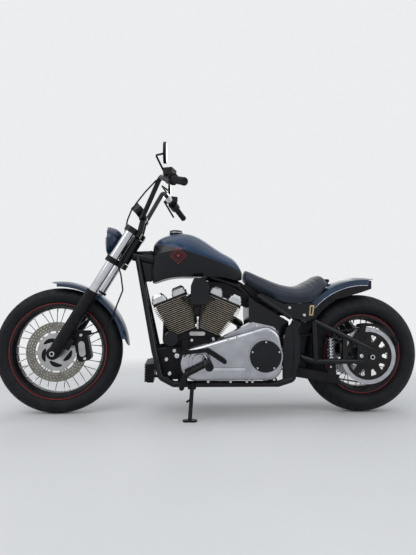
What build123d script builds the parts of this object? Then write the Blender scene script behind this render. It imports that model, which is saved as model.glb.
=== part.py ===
from build123d import *
from collections import namedtuple
from math import atan2, cos, radians, sin, tan
import os

os.makedirs("parts", exist_ok=True)

# The machine is drawn upright, with the front axle's contact point at X 0, +X to the rear,
# -Y to its left and the ground at Z 0. PLACED then leans it over onto its side stand.

# Stance
WHEELBASE = 1640.0
RAKE = 30.5
FORK_OFFSET = 33.0
LEAN = 5.0

# Gaps: between seated pieces, between a shaft and its bore, and round what moves
SEAT = 0.3
RUNNING = 0.5
CLEAR = 6.0

# Wheels. Radii and widths of tyre, bead seat and rim, and the spoke circles
class Wheel(namedtuple("Wheel", "x tyre_radius tyre_width crown_drop section rim_width "
                                "hub_half flange_y flange_radius spokes_a_side")):
    @property
    def bead_radius(self):
        return self.tyre_radius - self.section


FRONT = Wheel(x=0.0, tyre_radius=331.0, tyre_width=100.0, crown_drop=37.0, section=90.0,
              rim_width=76.0, hub_half=59.0, flange_y=32.0, flange_radius=40.0, spokes_a_side=16)
REAR = Wheel(x=WHEELBASE, tyre_radius=323.0, tyre_width=152.0, crown_drop=55.0, section=120.0,
             rim_width=100.0, hub_half=89.0, flange_y=46.0, flange_radius=48.0, spokes_a_side=16)
RIM_FLANGE_HEIGHT = 13.0
RIM_FLANGE = 4.0
RIM_WELL_DEPTH = 13.0
RIM_WELL_HALF = 16.0
RIM_WALL = 6.0
SPOKE_RADIUS = 2.0
SPOKE_SWEEP = 70.0
HUB_RADIUS = 27.0
HUB_FLANGE = 6.0
AXLE_RADIUS = 12.5
AXLE_BORE = 8.0
FRONT_AXLE_HALF = 140.0

# Brakes
FRONT_DISC_RADIUS = 154.0
REAR_DISC_RADIUS = 146.0
DISC_BAND = 40.0
DISC_THICKNESS = 5.0
DISC_Y = FRONT.hub_half + SEAT + DISC_THICKNESS / 2
REAR_DISC_Y = REAR.hub_half + SEAT + DISC_THICKNESS / 2
DISC_ARMS = 5
CALIPER_INSET = 16.0
FRONT_CALIPER_ANGLE = 12.0
REAR_CALIPER_ANGLE = 118.0
CALIPER_LENGTH = 150.0
CALIPER_DEPTH = 72.0
CALIPER_WALL = 15.0

# Final drive
PULLEY_RADIUS = 140.0
PULLEY_LIP = 149.0
PULLEY_LIP_WIDTH = 4.0
PULLEY_RING = 127.0
PULLEY_ARMS = 10
PULLEY_WEB = 10.0
GEARBOX_PULLEY_RADIUS = 62.0
BELT_WIDTH = 20.0
BELT_THICKNESS = 4.5
BELT_GAP = 5.0

# Fork
TUBE_RADIUS = 24.5
FORK_HALF = 108.0
SLIDER_RADIUS = 32.0
SLIDER_TOP = 370.0
SLIDER_BOTTOM = -26.0
TUBE_TOP = 742.0
LOWER_CLAMP_AT = 540.0
UPPER_CLAMP_AT = 742.0
CLAMP_HEIGHT = 30.0
CLAMP_RADIUS = 35.0
STEM_RADIUS = 14.0
NECK_RADIUS = 34.0

# Headlamp, on the centre line
LAMP_X = 242.0
LAMP_Z = 923.0
LAMP_RADIUS = 77.0
LAMP_RIM = 14.0
LAMP_RIM_WALL = 9.0
LAMP_DEPTH = 72.0
LENS_DOME = 24.0

# Handlebar and its fittings
BAR_RADIUS = 12.7
BAR_CENTRE = (430.0, 0.0, 1043.0)
BAR_FOOT = (430.0, 78.0, 1043.0)
BAR_CORNER = (525.0, 150.0, 1243.0)
BAR_END = (647.0, 420.0, 1142.0)
GRIP_RADIUS = 19.0
GRIP_LENGTH = 128.0
RISER_HALF = 42.0
MIRROR_RADIUS = 48.0
POT_LIFT = 30.0
POT_HEIGHT = 34.0
CLAMP_BACK = 250.0
CLAMP_RING_RADIUS = 20.0

# Mudguards
FRONT_GUARD_RADIUS = FRONT.tyre_radius + 37.0
FRONT_GUARD_HALF = 64.0
FRONT_GUARD_SKIRT = 30.0
FRONT_GUARD_FROM = 4.0
FRONT_GUARD_TO = 98.0
REAR_GUARD_RADIUS = REAR.tyre_radius + 98.0
REAR_GUARD_HALF = 95.0
REAR_GUARD_SKIRT = 46.0
REAR_GUARD_FROM = 76.0
REAR_GUARD_TO = 153.0
GUARD_WALL = 3.0
FRONT_GUARD_POINT = 60.0
REAR_GUARD_POINT = 80.0
REAR_GUARD_TIP = 1720.0
LINER_WALL = 3.0

# Frame
FRAME_TUBE = 16.0
BACKBONE_RADIUS = 28.0
GUSSET_HALF = 14.0
RAIL_Z = 181.0
CROSS_X = (655.0, 1120.0)
PIVOT = (1196.0, 339.0)
PIVOT_HALF = 124.0
ARM_TUBE = 14.0
SPRING_X = 1443.0
SPRING_HALF = 104.0
SPRING_RADIUS = 20.0
SPRING_FROM = 296.0
SPRING_TO = 418.0

# Engine
CRANK = (728.0, 280.0)
V_HALF = 22.5
CASE_HALF = 95.0
CASE_BOTTOM = 205.0
BARREL_RADIUS = 52.0
FIN_FROM = 176.0
FIN_TO = 352.0
FIN_COUNT = 18
FIN_THICKNESS = 3.0
FIN_HALF_LOW = 66.0
FIN_HALF_HIGH = 102.0
FIN_DEPTH = 82.0
HEAD_HEIGHT = 14.0
ROCKER_HEIGHT = 44.0
ROCKER_LENGTH = 84.0
ROCKER_HALF_SPAN = 57.0
PRIMARY_DEPTH = 110.0
INNER_PRIMARY_DEPTH = 45.0
CRANK_BOSS = (737.0, 305.0)
CRANK_BOSS_STEPS = ((54.0, 4.0), (37.0, 8.0))
DERBY = (1067.0, 333.0)
DERBY_RADIUS = 80.0
DERBY_DEPTH = 16.0
SHIFT_SHAFT = (859.0, 309.0)

# Side stand
STAND_PIVOT = (703.0, 176.0)
STAND_Y = -178.0
STAND_FOOT_X = 693.0
STAND_FOOT_Y = -226.0
STAND_RADIUS = 10.0
STAND_HUB = 17.0
STAND_PAD = 24.0

R = radians(RAKE)
PARTS = {}


def rod(start, end, radius):
    start, end = Vector(*start), Vector(*end)
    along = end - start
    base = Plane(origin=start, z_dir=along)
    return extrude(base * Circle(radius), along.length)


def pipe(points, radius, bends):
    path = FilletPolyline(*points, radius=bends)
    start = Plane(origin=path @ 0, z_dir=path % 0)
    return sweep(start * Circle(radius), path=path)


def slab(points, y_from, y_to, corner=0.0):
    """A plate with a side view outline of X and Z points, between two Y planes."""
    outline = make_face(Polyline(*points, close=True))
    if corner:
        outline = fillet(outline.vertices(), corner)
    side = Plane(origin=(0, y_from, 0), x_dir=(1, 0, 0), z_dir=(0, -1, 0))
    return extrude(side * outline, y_from - y_to)


def lathe(wheel, edges, angle=360.0):
    """Turn an outline of radius and Y points about a wheel's axle."""
    return Pos(wheel.x, 0, wheel.tyre_radius) * revolve(make_face(edges), Axis.Y, angle)


def across(x, z, y_from, y_to, radius):
    return rod((x, y_from, z), (x, y_to, z), radius)


def flip(point):
    return (point[0], -point[1], point[2])


def fork(along, y, ahead=0.0):
    """A point by its height along the fork legs from the axle and distance ahead of them."""
    x = along * sin(R) - ahead * cos(R)
    z = FRONT.tyre_radius + along * cos(R) + ahead * sin(R)
    return (x, y, z)


FORK_PLANE = Plane(origin=fork(0, 0), x_dir=(cos(R), 0, -sin(R)), z_dir=(sin(R), 0, cos(R)))
AXIS_BACK = -FORK_OFFSET


def polar(wheel, radius, angle, y=0.0):
    a = radians(angle)
    return (wheel.x + radius * cos(a), y, wheel.tyre_radius + radius * sin(a))


def tyre(w):
    half = w.tyre_width / 2
    lip = w.rim_width / 2 - RIM_FLANGE - SEAT
    bead = w.bead_radius + SEAT
    edge = w.bead_radius + RIM_FLANGE_HEIGHT + SEAT
    shoulder = w.tyre_radius - w.crown_drop
    belly = (edge + shoulder) / 2
    bulge = half - 0.15 * (half - lip)
    outline = [
        Line((bead, -lip), (edge, -lip)),
        ThreePointArc((edge, -lip), (belly, -bulge), (shoulder, -half)),
        ThreePointArc((shoulder, -half), (w.tyre_radius, 0), (shoulder, half)),
        ThreePointArc((shoulder, half), (belly, bulge), (edge, lip)),
        Line((edge, lip), (bead, lip)),
        Line((bead, lip), (bead, -lip)),
    ]
    return lathe(w, outline)


def rim_and_hub(w):
    half = w.rim_width / 2
    lip = half - RIM_FLANGE
    edge = w.bead_radius + RIM_FLANGE_HEIGHT
    well = w.bead_radius - RIM_WELL_DEPTH
    inner = well - RIM_WALL
    section = Polyline(
        (edge, -half), (edge, -lip), (w.bead_radius, -lip), (w.bead_radius, -RIM_WELL_HALF - 6),
        (well, -RIM_WELL_HALF), (well, RIM_WELL_HALF), (w.bead_radius, RIM_WELL_HALF + 6),
        (w.bead_radius, lip), (edge, lip), (edge, half), (w.bead_radius - RIM_WALL, half),
        (inner, RIM_WELL_HALF), (inner, -RIM_WELL_HALF), (w.bead_radius - RIM_WALL, -half),
        close=True)
    wheel = lathe(w, section)
    hub = across(w.x, w.tyre_radius, -w.hub_half, w.hub_half, HUB_RADIUS)
    for side in (-1, 1):
        face = side * w.flange_y
        hub += across(w.x, w.tyre_radius, face, face - side * HUB_FLANGE, w.flange_radius)
        hub += across(w.x, w.tyre_radius, side * w.hub_half, side * (w.hub_half - 8), 38.0)
    wheel += hub
    step = 360.0 / w.spokes_a_side
    for side in (-1, 1):
        for k in range(w.spokes_a_side):
            lead = SPOKE_SWEEP if k % 2 else -SPOKE_SWEEP
            rim_angle = (k + 0.25 * side) * step
            root = polar(w, w.flange_radius - 5, rim_angle - lead, side * (w.flange_y - 3))
            tip = polar(w, inner + 2, rim_angle, side * 5.0)
            wheel += rod(root, tip, SPOKE_RADIUS)
    return wheel - across(w.x, w.tyre_radius, -w.hub_half, w.hub_half, AXLE_RADIUS + RUNNING)


def brake_disc(w, radius, y):
    inner = radius - DISC_BAND
    centre = Pos(w.x, y, w.tyre_radius) * Rot(90, 0, 0)
    disc = Circle(radius) - Circle(AXLE_RADIUS + RUNNING)
    window = SlotArc(CenterArc((0, 0), inner - 26, 0, 360 / DISC_ARMS - 26), 30)
    for k in range(DISC_ARMS):
        disc -= Rot(0, 0, k * 360 / DISC_ARMS) * window
    plate = extrude(disc, DISC_THICKNESS / 2, both=True)
    return centre * plate


def caliper(w, disc_radius, y, side, angle):
    """A block over the disc's edge, slotted for it, with its long side along the edge."""
    centre_radius = disc_radius - CALIPER_INSET
    at = polar(w, centre_radius, angle, y)
    frame = Pos(*at) * Rot(0, 90 - angle, 0)
    gap = DISC_THICKNESS / 2 + BELT_GAP
    width = 2 * (gap + CALIPER_WALL)
    block = Box(CALIPER_LENGTH, width, CALIPER_DEPTH)
    block = fillet(block.edges().filter_by(Axis.Y), 20)
    slot_top = CALIPER_INSET + BELT_GAP
    slot = Pos(0, 0, slot_top - CALIPER_DEPTH / 2) * Box(CALIPER_LENGTH + 2, 2 * gap, CALIPER_DEPTH)
    boss = Pos(0, side * (width / 2 + 3), 0) * Rot(90, 0, 0) * extrude(SlotOverall(110, 40), 4, both=True)
    return frame * (block - slot + boss)


def guard(w, radius, half, skirt, start, end):
    """A curved mudguard of one wall, open towards the wheel."""
    low = radius - skirt
    crown = radius - 9
    outer = [
        Line((low, -half), (crown - 6, -half)),
        ThreePointArc((crown - 6, -half), (radius, 0), (crown - 6, half)),
        Line((crown - 6, half), (low, half)),
    ]
    inner_half = half - GUARD_WALL
    inner = [
        Line((low, half), (low, inner_half)),
        Line((low, inner_half), (crown - 6, inner_half)),
        ThreePointArc((crown - 6, inner_half), (radius - GUARD_WALL, 0), (crown - 6, -inner_half)),
        Line((crown - 6, -inner_half), (low, -inner_half)),
        Line((low, -inner_half), (low, -half)),
    ]
    section = Rot(0, -start, 0) * make_face(outer + inner)
    return Pos(w.x, 0, w.tyre_radius) * revolve(section, -Axis.Y, end - start)


def pointed(shell, half, reach, plane, length):
    """Round one end of a mudguard; the plane's X runs to the tip from where the rounding starts."""
    outline = Ellipse(reach, half + 0.5)
    outline += Pos(-length / 2, 0) * Rectangle(length, 2 * half + 1)
    return shell & extrude(plane * outline, 900)


def front_wheel():
    PARTS["front_tyre"] = tyre(FRONT)
    PARTS["front_wheel_rim"] = rim_and_hub(FRONT)
    PARTS["front_brake_disc"] = brake_disc(FRONT, FRONT_DISC_RADIUS, -DISC_Y)


def hollow_axle(w, half):
    shaft = across(w.x, w.tyre_radius, -half, half, AXLE_RADIUS)
    return shaft - across(w.x, w.tyre_radius, -half, half, AXLE_BORE)


def fork_legs():
    PARTS["front_axle"] = hollow_axle(FRONT, FRONT_AXLE_HALF)
    tubes = []
    sliders = []
    for y in (-FORK_HALF, FORK_HALF):
        tubes.append(rod(fork(SLIDER_TOP - 200, y), fork(TUBE_TOP, y), TUBE_RADIUS))
        slider = rod(fork(SLIDER_BOTTOM + 40, y), fork(SLIDER_TOP, y), SLIDER_RADIUS)
        foot = across(0, FRONT.tyre_radius, y - 18, y + 18, SLIDER_RADIUS)
        slider += foot + rod(fork(0, y), fork(60, y), SLIDER_RADIUS - 3)
        slider -= rod(fork(SLIDER_TOP - 201, y), fork(SLIDER_TOP, y), TUBE_RADIUS + SEAT)
        slider -= across(0, FRONT.tyre_radius, y - 40, y + 40, AXLE_RADIUS + SEAT)
        side = 1 if y > 0 else -1
        lug = Box(30, 10, 60)
        slider += FORK_PLANE * Pos(SLIDER_RADIUS + 10, y + side * 4, 78) * lug
        sliders.append(slider)
    PARTS["fork_tubes"] = Compound(children=tubes)
    PARTS["fork_sliders"] = Compound(children=sliders)


def clamps():
    for name, at in (("lower_clamp", LOWER_CLAMP_AT), ("upper_clamp", UPPER_CLAMP_AT - 16)):
        bridge = Pos(FORK_OFFSET / 2, 0) * RectangleRounded(FORK_OFFSET + 44, 2 * FORK_HALF, 12)
        outline = bridge
        for y in (-FORK_HALF, FORK_HALF):
            outline += Pos(0, y) * Circle(CLAMP_RADIUS)
        outline += Pos(FORK_OFFSET, 0) * Circle(NECK_RADIUS)
        plate = extrude(outline, CLAMP_HEIGHT)
        for y in (-FORK_HALF, FORK_HALF):
            plate -= Pos(0, y, -1) * extrude(Circle(TUBE_RADIUS + SEAT), CLAMP_HEIGHT + 2)
        PARTS[name] = FORK_PLANE * Pos(0, 0, at) * plate
    foot = LOWER_CLAMP_AT + CLAMP_HEIGHT
    stem = rod(fork(foot, 0, AXIS_BACK), fork(UPPER_CLAMP_AT - 16 - SEAT, 0, AXIS_BACK), STEM_RADIUS)
    PARTS["lower_clamp"] += stem
    lamp_foot = (LAMP_X + 20, 0, LAMP_Z - LAMP_RADIUS + 2)
    arm = rod(fork(foot - 14, 0, 30), lamp_foot, 9)
    PARTS["lower_clamp"] += arm


def dome(x, radius, height, facing):
    """A domed cap on the lamp's axis with its flat face at x; facing is 1 to the rear, -1 forward."""
    centre = (height ** 2 - radius ** 2) / (2 * height)
    ball = height - centre
    halfway = atan2(radius, -centre) / 2
    middle = (ball * sin(halfway), centre + ball * cos(halfway))
    outline = [
        Line((0, 0), (radius, 0)),
        ThreePointArc((radius, 0), middle, (0, height)),
        Line((0, height), (0, 0)),
    ]
    return Pos(x, 0, LAMP_Z) * Rot(0, 0, -90 * facing) * revolve(make_face(outline), Axis.Y)


def headlamp():
    face = Plane(origin=(LAMP_X, 0, LAMP_Z), x_dir=(0, 1, 0), z_dir=(1, 0, 0))
    inner = LAMP_RADIUS - LAMP_RIM_WALL
    rim = face * extrude(Circle(LAMP_RADIUS) - Circle(inner), LAMP_RIM)
    bowl = dome(LAMP_X + LAMP_RIM - 2, LAMP_RADIUS - 3, LAMP_DEPTH, 1)
    PARTS["headlamp_shell"] = bowl + rim
    PARTS["lower_clamp"] -= dome(LAMP_X + LAMP_RIM - 2, LAMP_RADIUS - 3 + SEAT, LAMP_DEPTH + SEAT, 1)
    PARTS["lower_clamp"] -= face * extrude(Circle(LAMP_RADIUS + SEAT), LAMP_RIM)
    base = LAMP_X + 6
    lens = dome(base, inner - SEAT, LENS_DOME, -1)
    lens += rod((base, 0, LAMP_Z), (base + 4, 0, LAMP_Z), inner - SEAT)
    PARTS["headlamp_lens"] = lens


def handlebar():
    right = [BAR_CENTRE, BAR_FOOT, BAR_CORNER, BAR_END]
    left = [flip(p) for p in reversed(right[1:])]
    bar = pipe(left + right[1:], BAR_RADIUS, 30)
    PARTS["handlebar"] = bar
    top = UPPER_CLAMP_AT - 16 + CLAMP_HEIGHT
    risers = []
    for y in (-RISER_HALF, RISER_HALF):
        post = rod(fork(top, y, AXIS_BACK), (BAR_CENTRE[0], y, BAR_CENTRE[2]), 15)
        post += across(BAR_CENTRE[0], BAR_CENTRE[2], y - 17, y + 17, BAR_RADIUS + 9)
        post -= across(BAR_CENTRE[0], BAR_CENTRE[2], y - 20, y + 20, BAR_RADIUS + SEAT)
        post -= FORK_PLANE * Pos(FORK_OFFSET, y, top - 25) * Box(80, 60, 50)
        risers.append(post)
    PARTS["risers"] = Compound(children=risers)


def bar_point(back, side=-1):
    """A point on the outer straight of the bar, measured back from its end."""
    end, corner = Vector(*BAR_END), Vector(*BAR_CORNER)
    p = end + (corner - end).normalized() * back
    return (p.X, side * p.Y, p.Z)


def bar_fittings():
    grips = []
    for side in (-1, 1):
        grip = rod(bar_point(GRIP_LENGTH, side), bar_point(-4, side), GRIP_RADIUS)
        grip -= rod(bar_point(GRIP_LENGTH + 1, side), bar_point(0, side), BAR_RADIUS + SEAT)
        grips.append(grip)
    PARTS["grips"] = Compound(children=grips)
    for name, side in (("clutch_control", -1), ("brake_control", 1)):
        housing = rod(bar_point(GRIP_LENGTH + 52, side), bar_point(GRIP_LENGTH + 1, side), 28)
        perch = bar_point(GRIP_LENGTH + 66, side)
        housing += rod(perch, bar_point(GRIP_LENGTH + 50, side), 19)
        knee = Vector(*perch) + Vector(-44, 0, 6)
        housing += rod(perch, tuple(knee), 9)
        tip = Vector(*bar_point(10, side)) + Vector(-62, 0, 2)
        housing += rod(tuple(knee), tuple(tip), 6)
        pot = Vector(*bar_point(GRIP_LENGTH + 40, side)) + Vector(-4, 0, POT_LIFT)
        housing += Pos(*pot) * Rot(0, 0, side * 20) * Box(44, 62, POT_HEIGHT)
        housing -= rod(bar_point(GRIP_LENGTH + 130, side), bar_point(0, side), BAR_RADIUS + SEAT)
        PARTS[name] = housing
    mirrors = []
    rings = []
    for side in (-1, 1):
        outer, inner = bar_point(CLAMP_BACK - 22, side), bar_point(CLAMP_BACK + 22, side)
        ring = rod(outer, inner, CLAMP_RING_RADIUS) - rod(bar_point(CLAMP_BACK + 30, side), bar_point(CLAMP_BACK - 30, side), BAR_RADIUS + SEAT)
        rings.append(ring)
        base = Vector(*bar_point(CLAMP_BACK, side)) + Vector(0, 0, 16)
        elbow = (508.0, side * 262.0, 1314.0)
        behind = (544.0, side * 318.0, 1302.0)
        stem = pipe([tuple(base + Vector(0, 0, 6)), elbow, behind], 5, 12)
        stem += rod(tuple(base), tuple(base + Vector(0, 0, 12)), 9)
        face = Plane(origin=(548.0, side * 330.0, 1302.0), x_dir=(0, 1, 0), z_dir=(1, 0, 0))
        head = face * extrude(Ellipse(MIRROR_RADIUS + 12, MIRROR_RADIUS), 14)
        control = PARTS["brake_control" if side > 0 else "clutch_control"]
        hold = rod(outer, inner, CLAMP_RING_RADIUS + SEAT)
        mirrors.append(stem + head - control - hold)
    PARTS["bar_clamps"] = Compound(children=rings)
    PARTS["mirrors"] = Compound(children=mirrors)


def gauge():
    centre = Vector(398, 0, 1096)
    axis = Vector(1, 0, 0.9).normalized()
    pod = rod(tuple(centre - axis * 24), tuple(centre + axis * 24), 36)
    pod += rod(tuple(centre), BAR_CENTRE, 8)
    pod += across(BAR_CENTRE[0], BAR_CENTRE[2], -12, 12, BAR_RADIUS + 5)
    pod -= across(BAR_CENTRE[0], BAR_CENTRE[2], -60, 60, BAR_RADIUS + SEAT)
    PARTS["gauge"] = pod


def front_guard():
    shell = guard(FRONT, FRONT_GUARD_RADIUS, FRONT_GUARD_HALF, FRONT_GUARD_SKIRT,
                  FRONT_GUARD_FROM, FRONT_GUARD_TO)
    tip = FRONT_GUARD_RADIUS * cos(radians(FRONT_GUARD_TO))
    start = Plane(origin=(tip + FRONT_GUARD_POINT, 0, 0), x_dir=(-1, 0, 0), z_dir=(0, 0, 1))
    shell = pointed(shell, FRONT_GUARD_HALF, FRONT_GUARD_POINT, start, 500)
    low = FRONT.tyre_radius + FRONT_GUARD_RADIUS * sin(radians(FRONT_GUARD_FROM))
    start = Plane(origin=(-100, 0, low + FRONT_GUARD_POINT), x_dir=(0, 0, -1), z_dir=(1, 0, 0))
    shell = pointed(shell, FRONT_GUARD_HALF, FRONT_GUARD_POINT, start, 500)
    for side in (-1, 1):
        low = FRONT_GUARD_HALF - GUARD_WALL / 2
        high = FORK_HALF - SLIDER_RADIUS - SEAT
        shell += FORK_PLANE * Pos(4, side * (low + high) / 2, 336) * Box(50, high - low, 36)
    PARTS["front_guard"] = shell


def front_brake():
    y = -DISC_Y
    body = caliper(FRONT, FRONT_DISC_RADIUS, y, -1, FRONT_CALIPER_ANGLE)
    outer = -(DISC_Y + DISC_THICKNESS / 2 + BELT_GAP)
    for along in (60, 122):
        root = fork(along, 0, -8)
        body += slab([(root[0], root[2] - 12), (root[0] + 108, root[2] - 12), (root[0] + 108, root[2] + 12),
                      (root[0], root[2] + 12)], outer, outer - 14)
    leg = rod(fork(SLIDER_BOTTOM, -FORK_HALF), fork(SLIDER_TOP, -FORK_HALF), SLIDER_RADIUS + SEAT)
    PARTS["front_caliper"] = body - leg


def cables():
    loom = [(505, -158, 1222), (448, -140, 1164), (402, -120, 1110), (374, -105, 1073), (353, -90, 1026),
            (340, -78, 966), (322, -70, 890), (293, -64, 818)]
    hose = [(300, -60, 800), (322, -70, 735), (334, -72, 655), (306, -72, 580), (280, -70, 500), (232, -70, 440),
            (150, -70, 420)]
    lines = [pipe(loom, 4, 30), pipe(hose, 4, 30)]
    held_by = [PARTS["lower_clamp"], PARTS["handlebar"], PARTS["bar_clamps"], PARTS["front_caliper"]]
    for holder in held_by:
        lines = [line - holder for line in lines]
    PARTS["control_cables"] = Compound(children=lines)


def tank_section(x, z_low, half_low, z_wide, half_wide, z_top):
    side_mid = ((half_low + half_wide) / 2 + 6, (z_low + z_wide) / 2)
    edges = [
        Line((-half_low, z_low), (half_low, z_low)),
        ThreePointArc((half_low, z_low), side_mid, (half_wide, z_wide)),
        ThreePointArc((half_wide, z_wide), (0, z_top), (-half_wide, z_wide)),
        ThreePointArc((-half_wide, z_wide), (-side_mid[0], side_mid[1]), (-half_low, z_low)),
    ]
    return Plane(origin=(x, 0, 0), x_dir=(0, 1, 0), z_dir=(1, 0, 0)) * make_face(edges)


# Tank stations: X, bottom height, bottom half width, widest height, widest half width, top
TANK = [
    (490.0, 694.0, 74.0, 822.0, 96.0, 905.0),
    (512.0, 700.0, 90.0, 842.0, 114.0, 934.0),
    (560.0, 716.0, 102.0, 856.0, 136.0, 958.0),
    (635.0, 728.0, 108.0, 868.0, 150.0, 972.0),
    (776.0, 731.0, 100.0, 845.0, 138.0, 927.0),
    (880.0, 728.0, 80.0, 812.0, 104.0, 862.0),
    (968.0, 718.0, 44.0, 752.0, 58.0, 776.0),
]
BACKBONE = [(376.0, 0.0, 846.0), (640.0, 0.0, 792.0), (960.0, 0.0, 684.0), (1080.0, 0.0, 560.0)]


def tank():
    body = loft([tank_section(*row) for row in TANK])
    reach = BACKBONE_RADIUS + SEAT
    body -= pipe(BACKBONE, reach, 60)
    below = slab([(p[0], p[2]) for p in BACKBONE] + [(1000, 500), (400, 500)], reach, -reach)
    body -= below
    PARTS["tank"] = body
    cap = Pos(607, 0, 958) * Cylinder(36, 30, align=(Align.CENTER, Align.CENTER, Align.MIN))
    cap = fillet(cap.edges().sort_by(Axis.Z)[-1], 8)
    PARTS["fuel_cap"] = cap - body


# Seat stations: X, base, top, half width
SEAT_ROWS = [
    (985.0, 704.0, 770.0, 56.0),
    (1080.0, 650.0, 738.0, 96.0),
    (1180.0, 604.0, 700.0, 132.0),
    (1270.0, 600.0, 690.0, 150.0),
    (1345.0, 612.0, 722.0, 148.0),
    (1400.0, 660.0, 750.0, 118.0),
    (1434.0, 690.0, 724.0, 84.0),
]


def seat_section(x, base, top, half):
    rise = 0.35 * (top - base)
    edges = [
        Line((-half + 14, base), (half - 14, base)),
        Line((half - 14, base), (half, base + rise)),
        ThreePointArc((half, base + rise), (0, top), (-half, base + rise)),
        Line((-half, base + rise), (-half + 14, base)),
    ]
    return Plane(origin=(x, 0, 0), x_dir=(0, 1, 0), z_dir=(1, 0, 0)) * make_face(edges)


def seat():
    body = loft([seat_section(*row) for row in SEAT_ROWS])
    reach = REAR_GUARD_HALF + SEAT
    body -= across(REAR.x, REAR.tyre_radius, -reach, reach, REAR_GUARD_RADIUS + SEAT)
    PARTS["seat"] = body


def rear_guard():
    PARTS["rear_guard"] = guard(REAR, REAR_GUARD_RADIUS, REAR_GUARD_HALF, REAR_GUARD_SKIRT,
                                REAR_GUARD_FROM, REAR_GUARD_TO)
    start = Plane(origin=(REAR_GUARD_TIP - REAR_GUARD_POINT, 0, 0), x_dir=(1, 0, 0), z_dir=(0, 0, 1))
    PARTS["rear_guard"] = pointed(PARTS["rear_guard"], REAR_GUARD_HALF, REAR_GUARD_POINT, start, 600)
    outer = REAR_GUARD_HALF - GUARD_WALL - SEAT
    edge = [(1676, 680), (1620, 660), (1545, 638), (1470, 618), (1400, 618), (1400, 760), (1676, 760)]
    inside = across(REAR.x, REAR.tyre_radius, -outer, outer, REAR_GUARD_RADIUS - 18)
    plates = [slab(edge, side * outer, side * (outer - LINER_WALL), corner=8) & inside for side in (-1, 1)]
    PARTS["guard_liner"] = Compound(children=plates)


def neck_solid(radius):
    low = LOWER_CLAMP_AT + CLAMP_HEIGHT + 4
    high = UPPER_CLAMP_AT - 16 - 4
    return rod(fork(low, 0, AXIS_BACK), fork(high, 0, AXIS_BACK), radius)


PIVOT_PLATE = [(1174, 181), (1226, 205), (1262, 300), (1262, 420), (1238, 505), (1190, 470), (1174, 400)]


def frame_tubes():
    neck = neck_solid(NECK_RADIUS)
    spine = neck + pipe(BACKBONE, BACKBONE_RADIUS, 60)
    spine += slab([(392, 868), (476, 872), (476, 706), (432, 700)], GUSSET_HALF, -GUSSET_HALF, corner=10)
    low = LOWER_CLAMP_AT + CLAMP_HEIGHT
    spine -= rod(fork(low, 0, AXIS_BACK), fork(UPPER_CLAMP_AT, 0, AXIS_BACK), STEM_RADIUS + RUNNING)
    PARTS["frame_backbone"] = spine
    sides = None
    for side in (-1, 1):
        y = side * RAIL_HALF
        path = [(402, side * 16, 836), (508, side * 118, 345), (545, y, 215), (610, y, RAIL_Z),
                (1150, y, RAIL_Z), (1226, y, 205), (1240, y, 300), (1236, y, 505)]
        tube = pipe(path, FRAME_TUBE, 24)
        tube += across(PIVOT[0], PIVOT[1], side * (PIVOT_HALF + SEAT), side * 154, 27)
        tube += slab(PIVOT_PLATE, side * (RAIL_HALF - 10), side * (RAIL_HALF + 10), corner=8)
        sides = tube if sides is None else sides + tube
    for x in CROSS_X:
        height = CASE_BOTTOM - SEAT - (RAIL_Z - 10)
        sides += Pos(x, 0, CASE_BOTTOM - SEAT - height / 2) * Box(50, 2 * RAIL_HALF, height)
    bracket = slab([(676, 186), (730, 186), (722, 158), (684, 158)], STAND_Y + 18, -RAIL_HALF)
    sides += bracket
    sides -= neck_solid(NECK_RADIUS + SEAT)
    sides -= pipe(BACKBONE, BACKBONE_RADIUS + SEAT, 60)
    sides -= slab([(380, 880), (476 + SEAT, 880), (476 + SEAT, 700), (428, 690)], GUSSET_HALF + SEAT, -GUSSET_HALF - SEAT)
    PARTS["frame_cradle"] = sides


def frame_tail():
    outline = [(1034, 640), (1062, 622), (1225, 520), (1340, 500), (1352, 560), (1348, 600), (1181, 594),
               (1060, 648)]
    plates = []
    for side in (-1, 1):
        plate = slab(outline, side * 106, side * 123.7)
        plate += rod((1040, side * 115, 637), (1222, side * 115, 520), 12)
        plates.append(plate)
    tail = plates[0] + plates[1]
    tail += across(1075, 612, -110, 110, 12)
    guard_room = across(REAR.x, REAR.tyre_radius, -REAR_GUARD_HALF - 1, REAR_GUARD_HALF + 1, REAR_GUARD_RADIUS + 1)
    tail -= guard_room
    tail -= pipe(BACKBONE, BACKBONE_RADIUS + SEAT, 60)
    tail -= PARTS["seat"]
    PARTS["frame_tail"] = tail


def side_cover():
    outline = [(1000, 636), (1040, 600), (1216, 500), (1216, 420), (1176, 410), (1160, 452),
               (1006, 452), (1000, 520)]
    body = slab(outline, 94, -94, corner=8)
    body -= PARTS["frame_tail"]
    body -= PARTS["frame_backbone"]
    PARTS["oil_tank"] = body


def swingarm():
    px, pz = PIVOT
    ax, az = REAR.x, REAR.tyre_radius
    arm = across(px, pz, -PIVOT_HALF, PIVOT_HALF, 22)
    for side in (-1, 1):
        y = side * ARM_HALF
        inner = side * 104
        lower = [(px, inner, pz), (1268, inner, 318), (1344, y, 297), (1600, y, 298)]
        arm += pipe(lower, ARM_TUBE, 20)
        arm += rod((1344, y, 297), (1337, y, 506), ARM_TUBE)
        arm += rod((1337, y, 506), (1650, y, 358), ARM_TUBE)
        plate = [(1570, 396), (1690, 352), (1694, 300), (1660, 284), (1560, 286)]
        arm += slab(plate, side * 132, side * 158, corner=10)
        arm += slab([(1490, 300), (1512, 300), (1512, 420), (1490, 430)], side * 138, side * 152)
        for z in (SPRING_FROM - 8 - SEAT, SPRING_TO + SEAT):
            arm += Pos(SPRING_X, side * (SPRING_HALF + 18), z + 4) * Box(36, 76, 8)
        arm += rod((SPRING_X, y, SPRING_TO), (SPRING_X, y, 452), 7)
    arm -= across(ax, az, -200, 200, AXLE_RADIUS + SEAT)
    PARTS["swingarm"] = arm
    PARTS["rear_axle"] = hollow_axle(REAR, REAR_AXLE_HALF)


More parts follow.
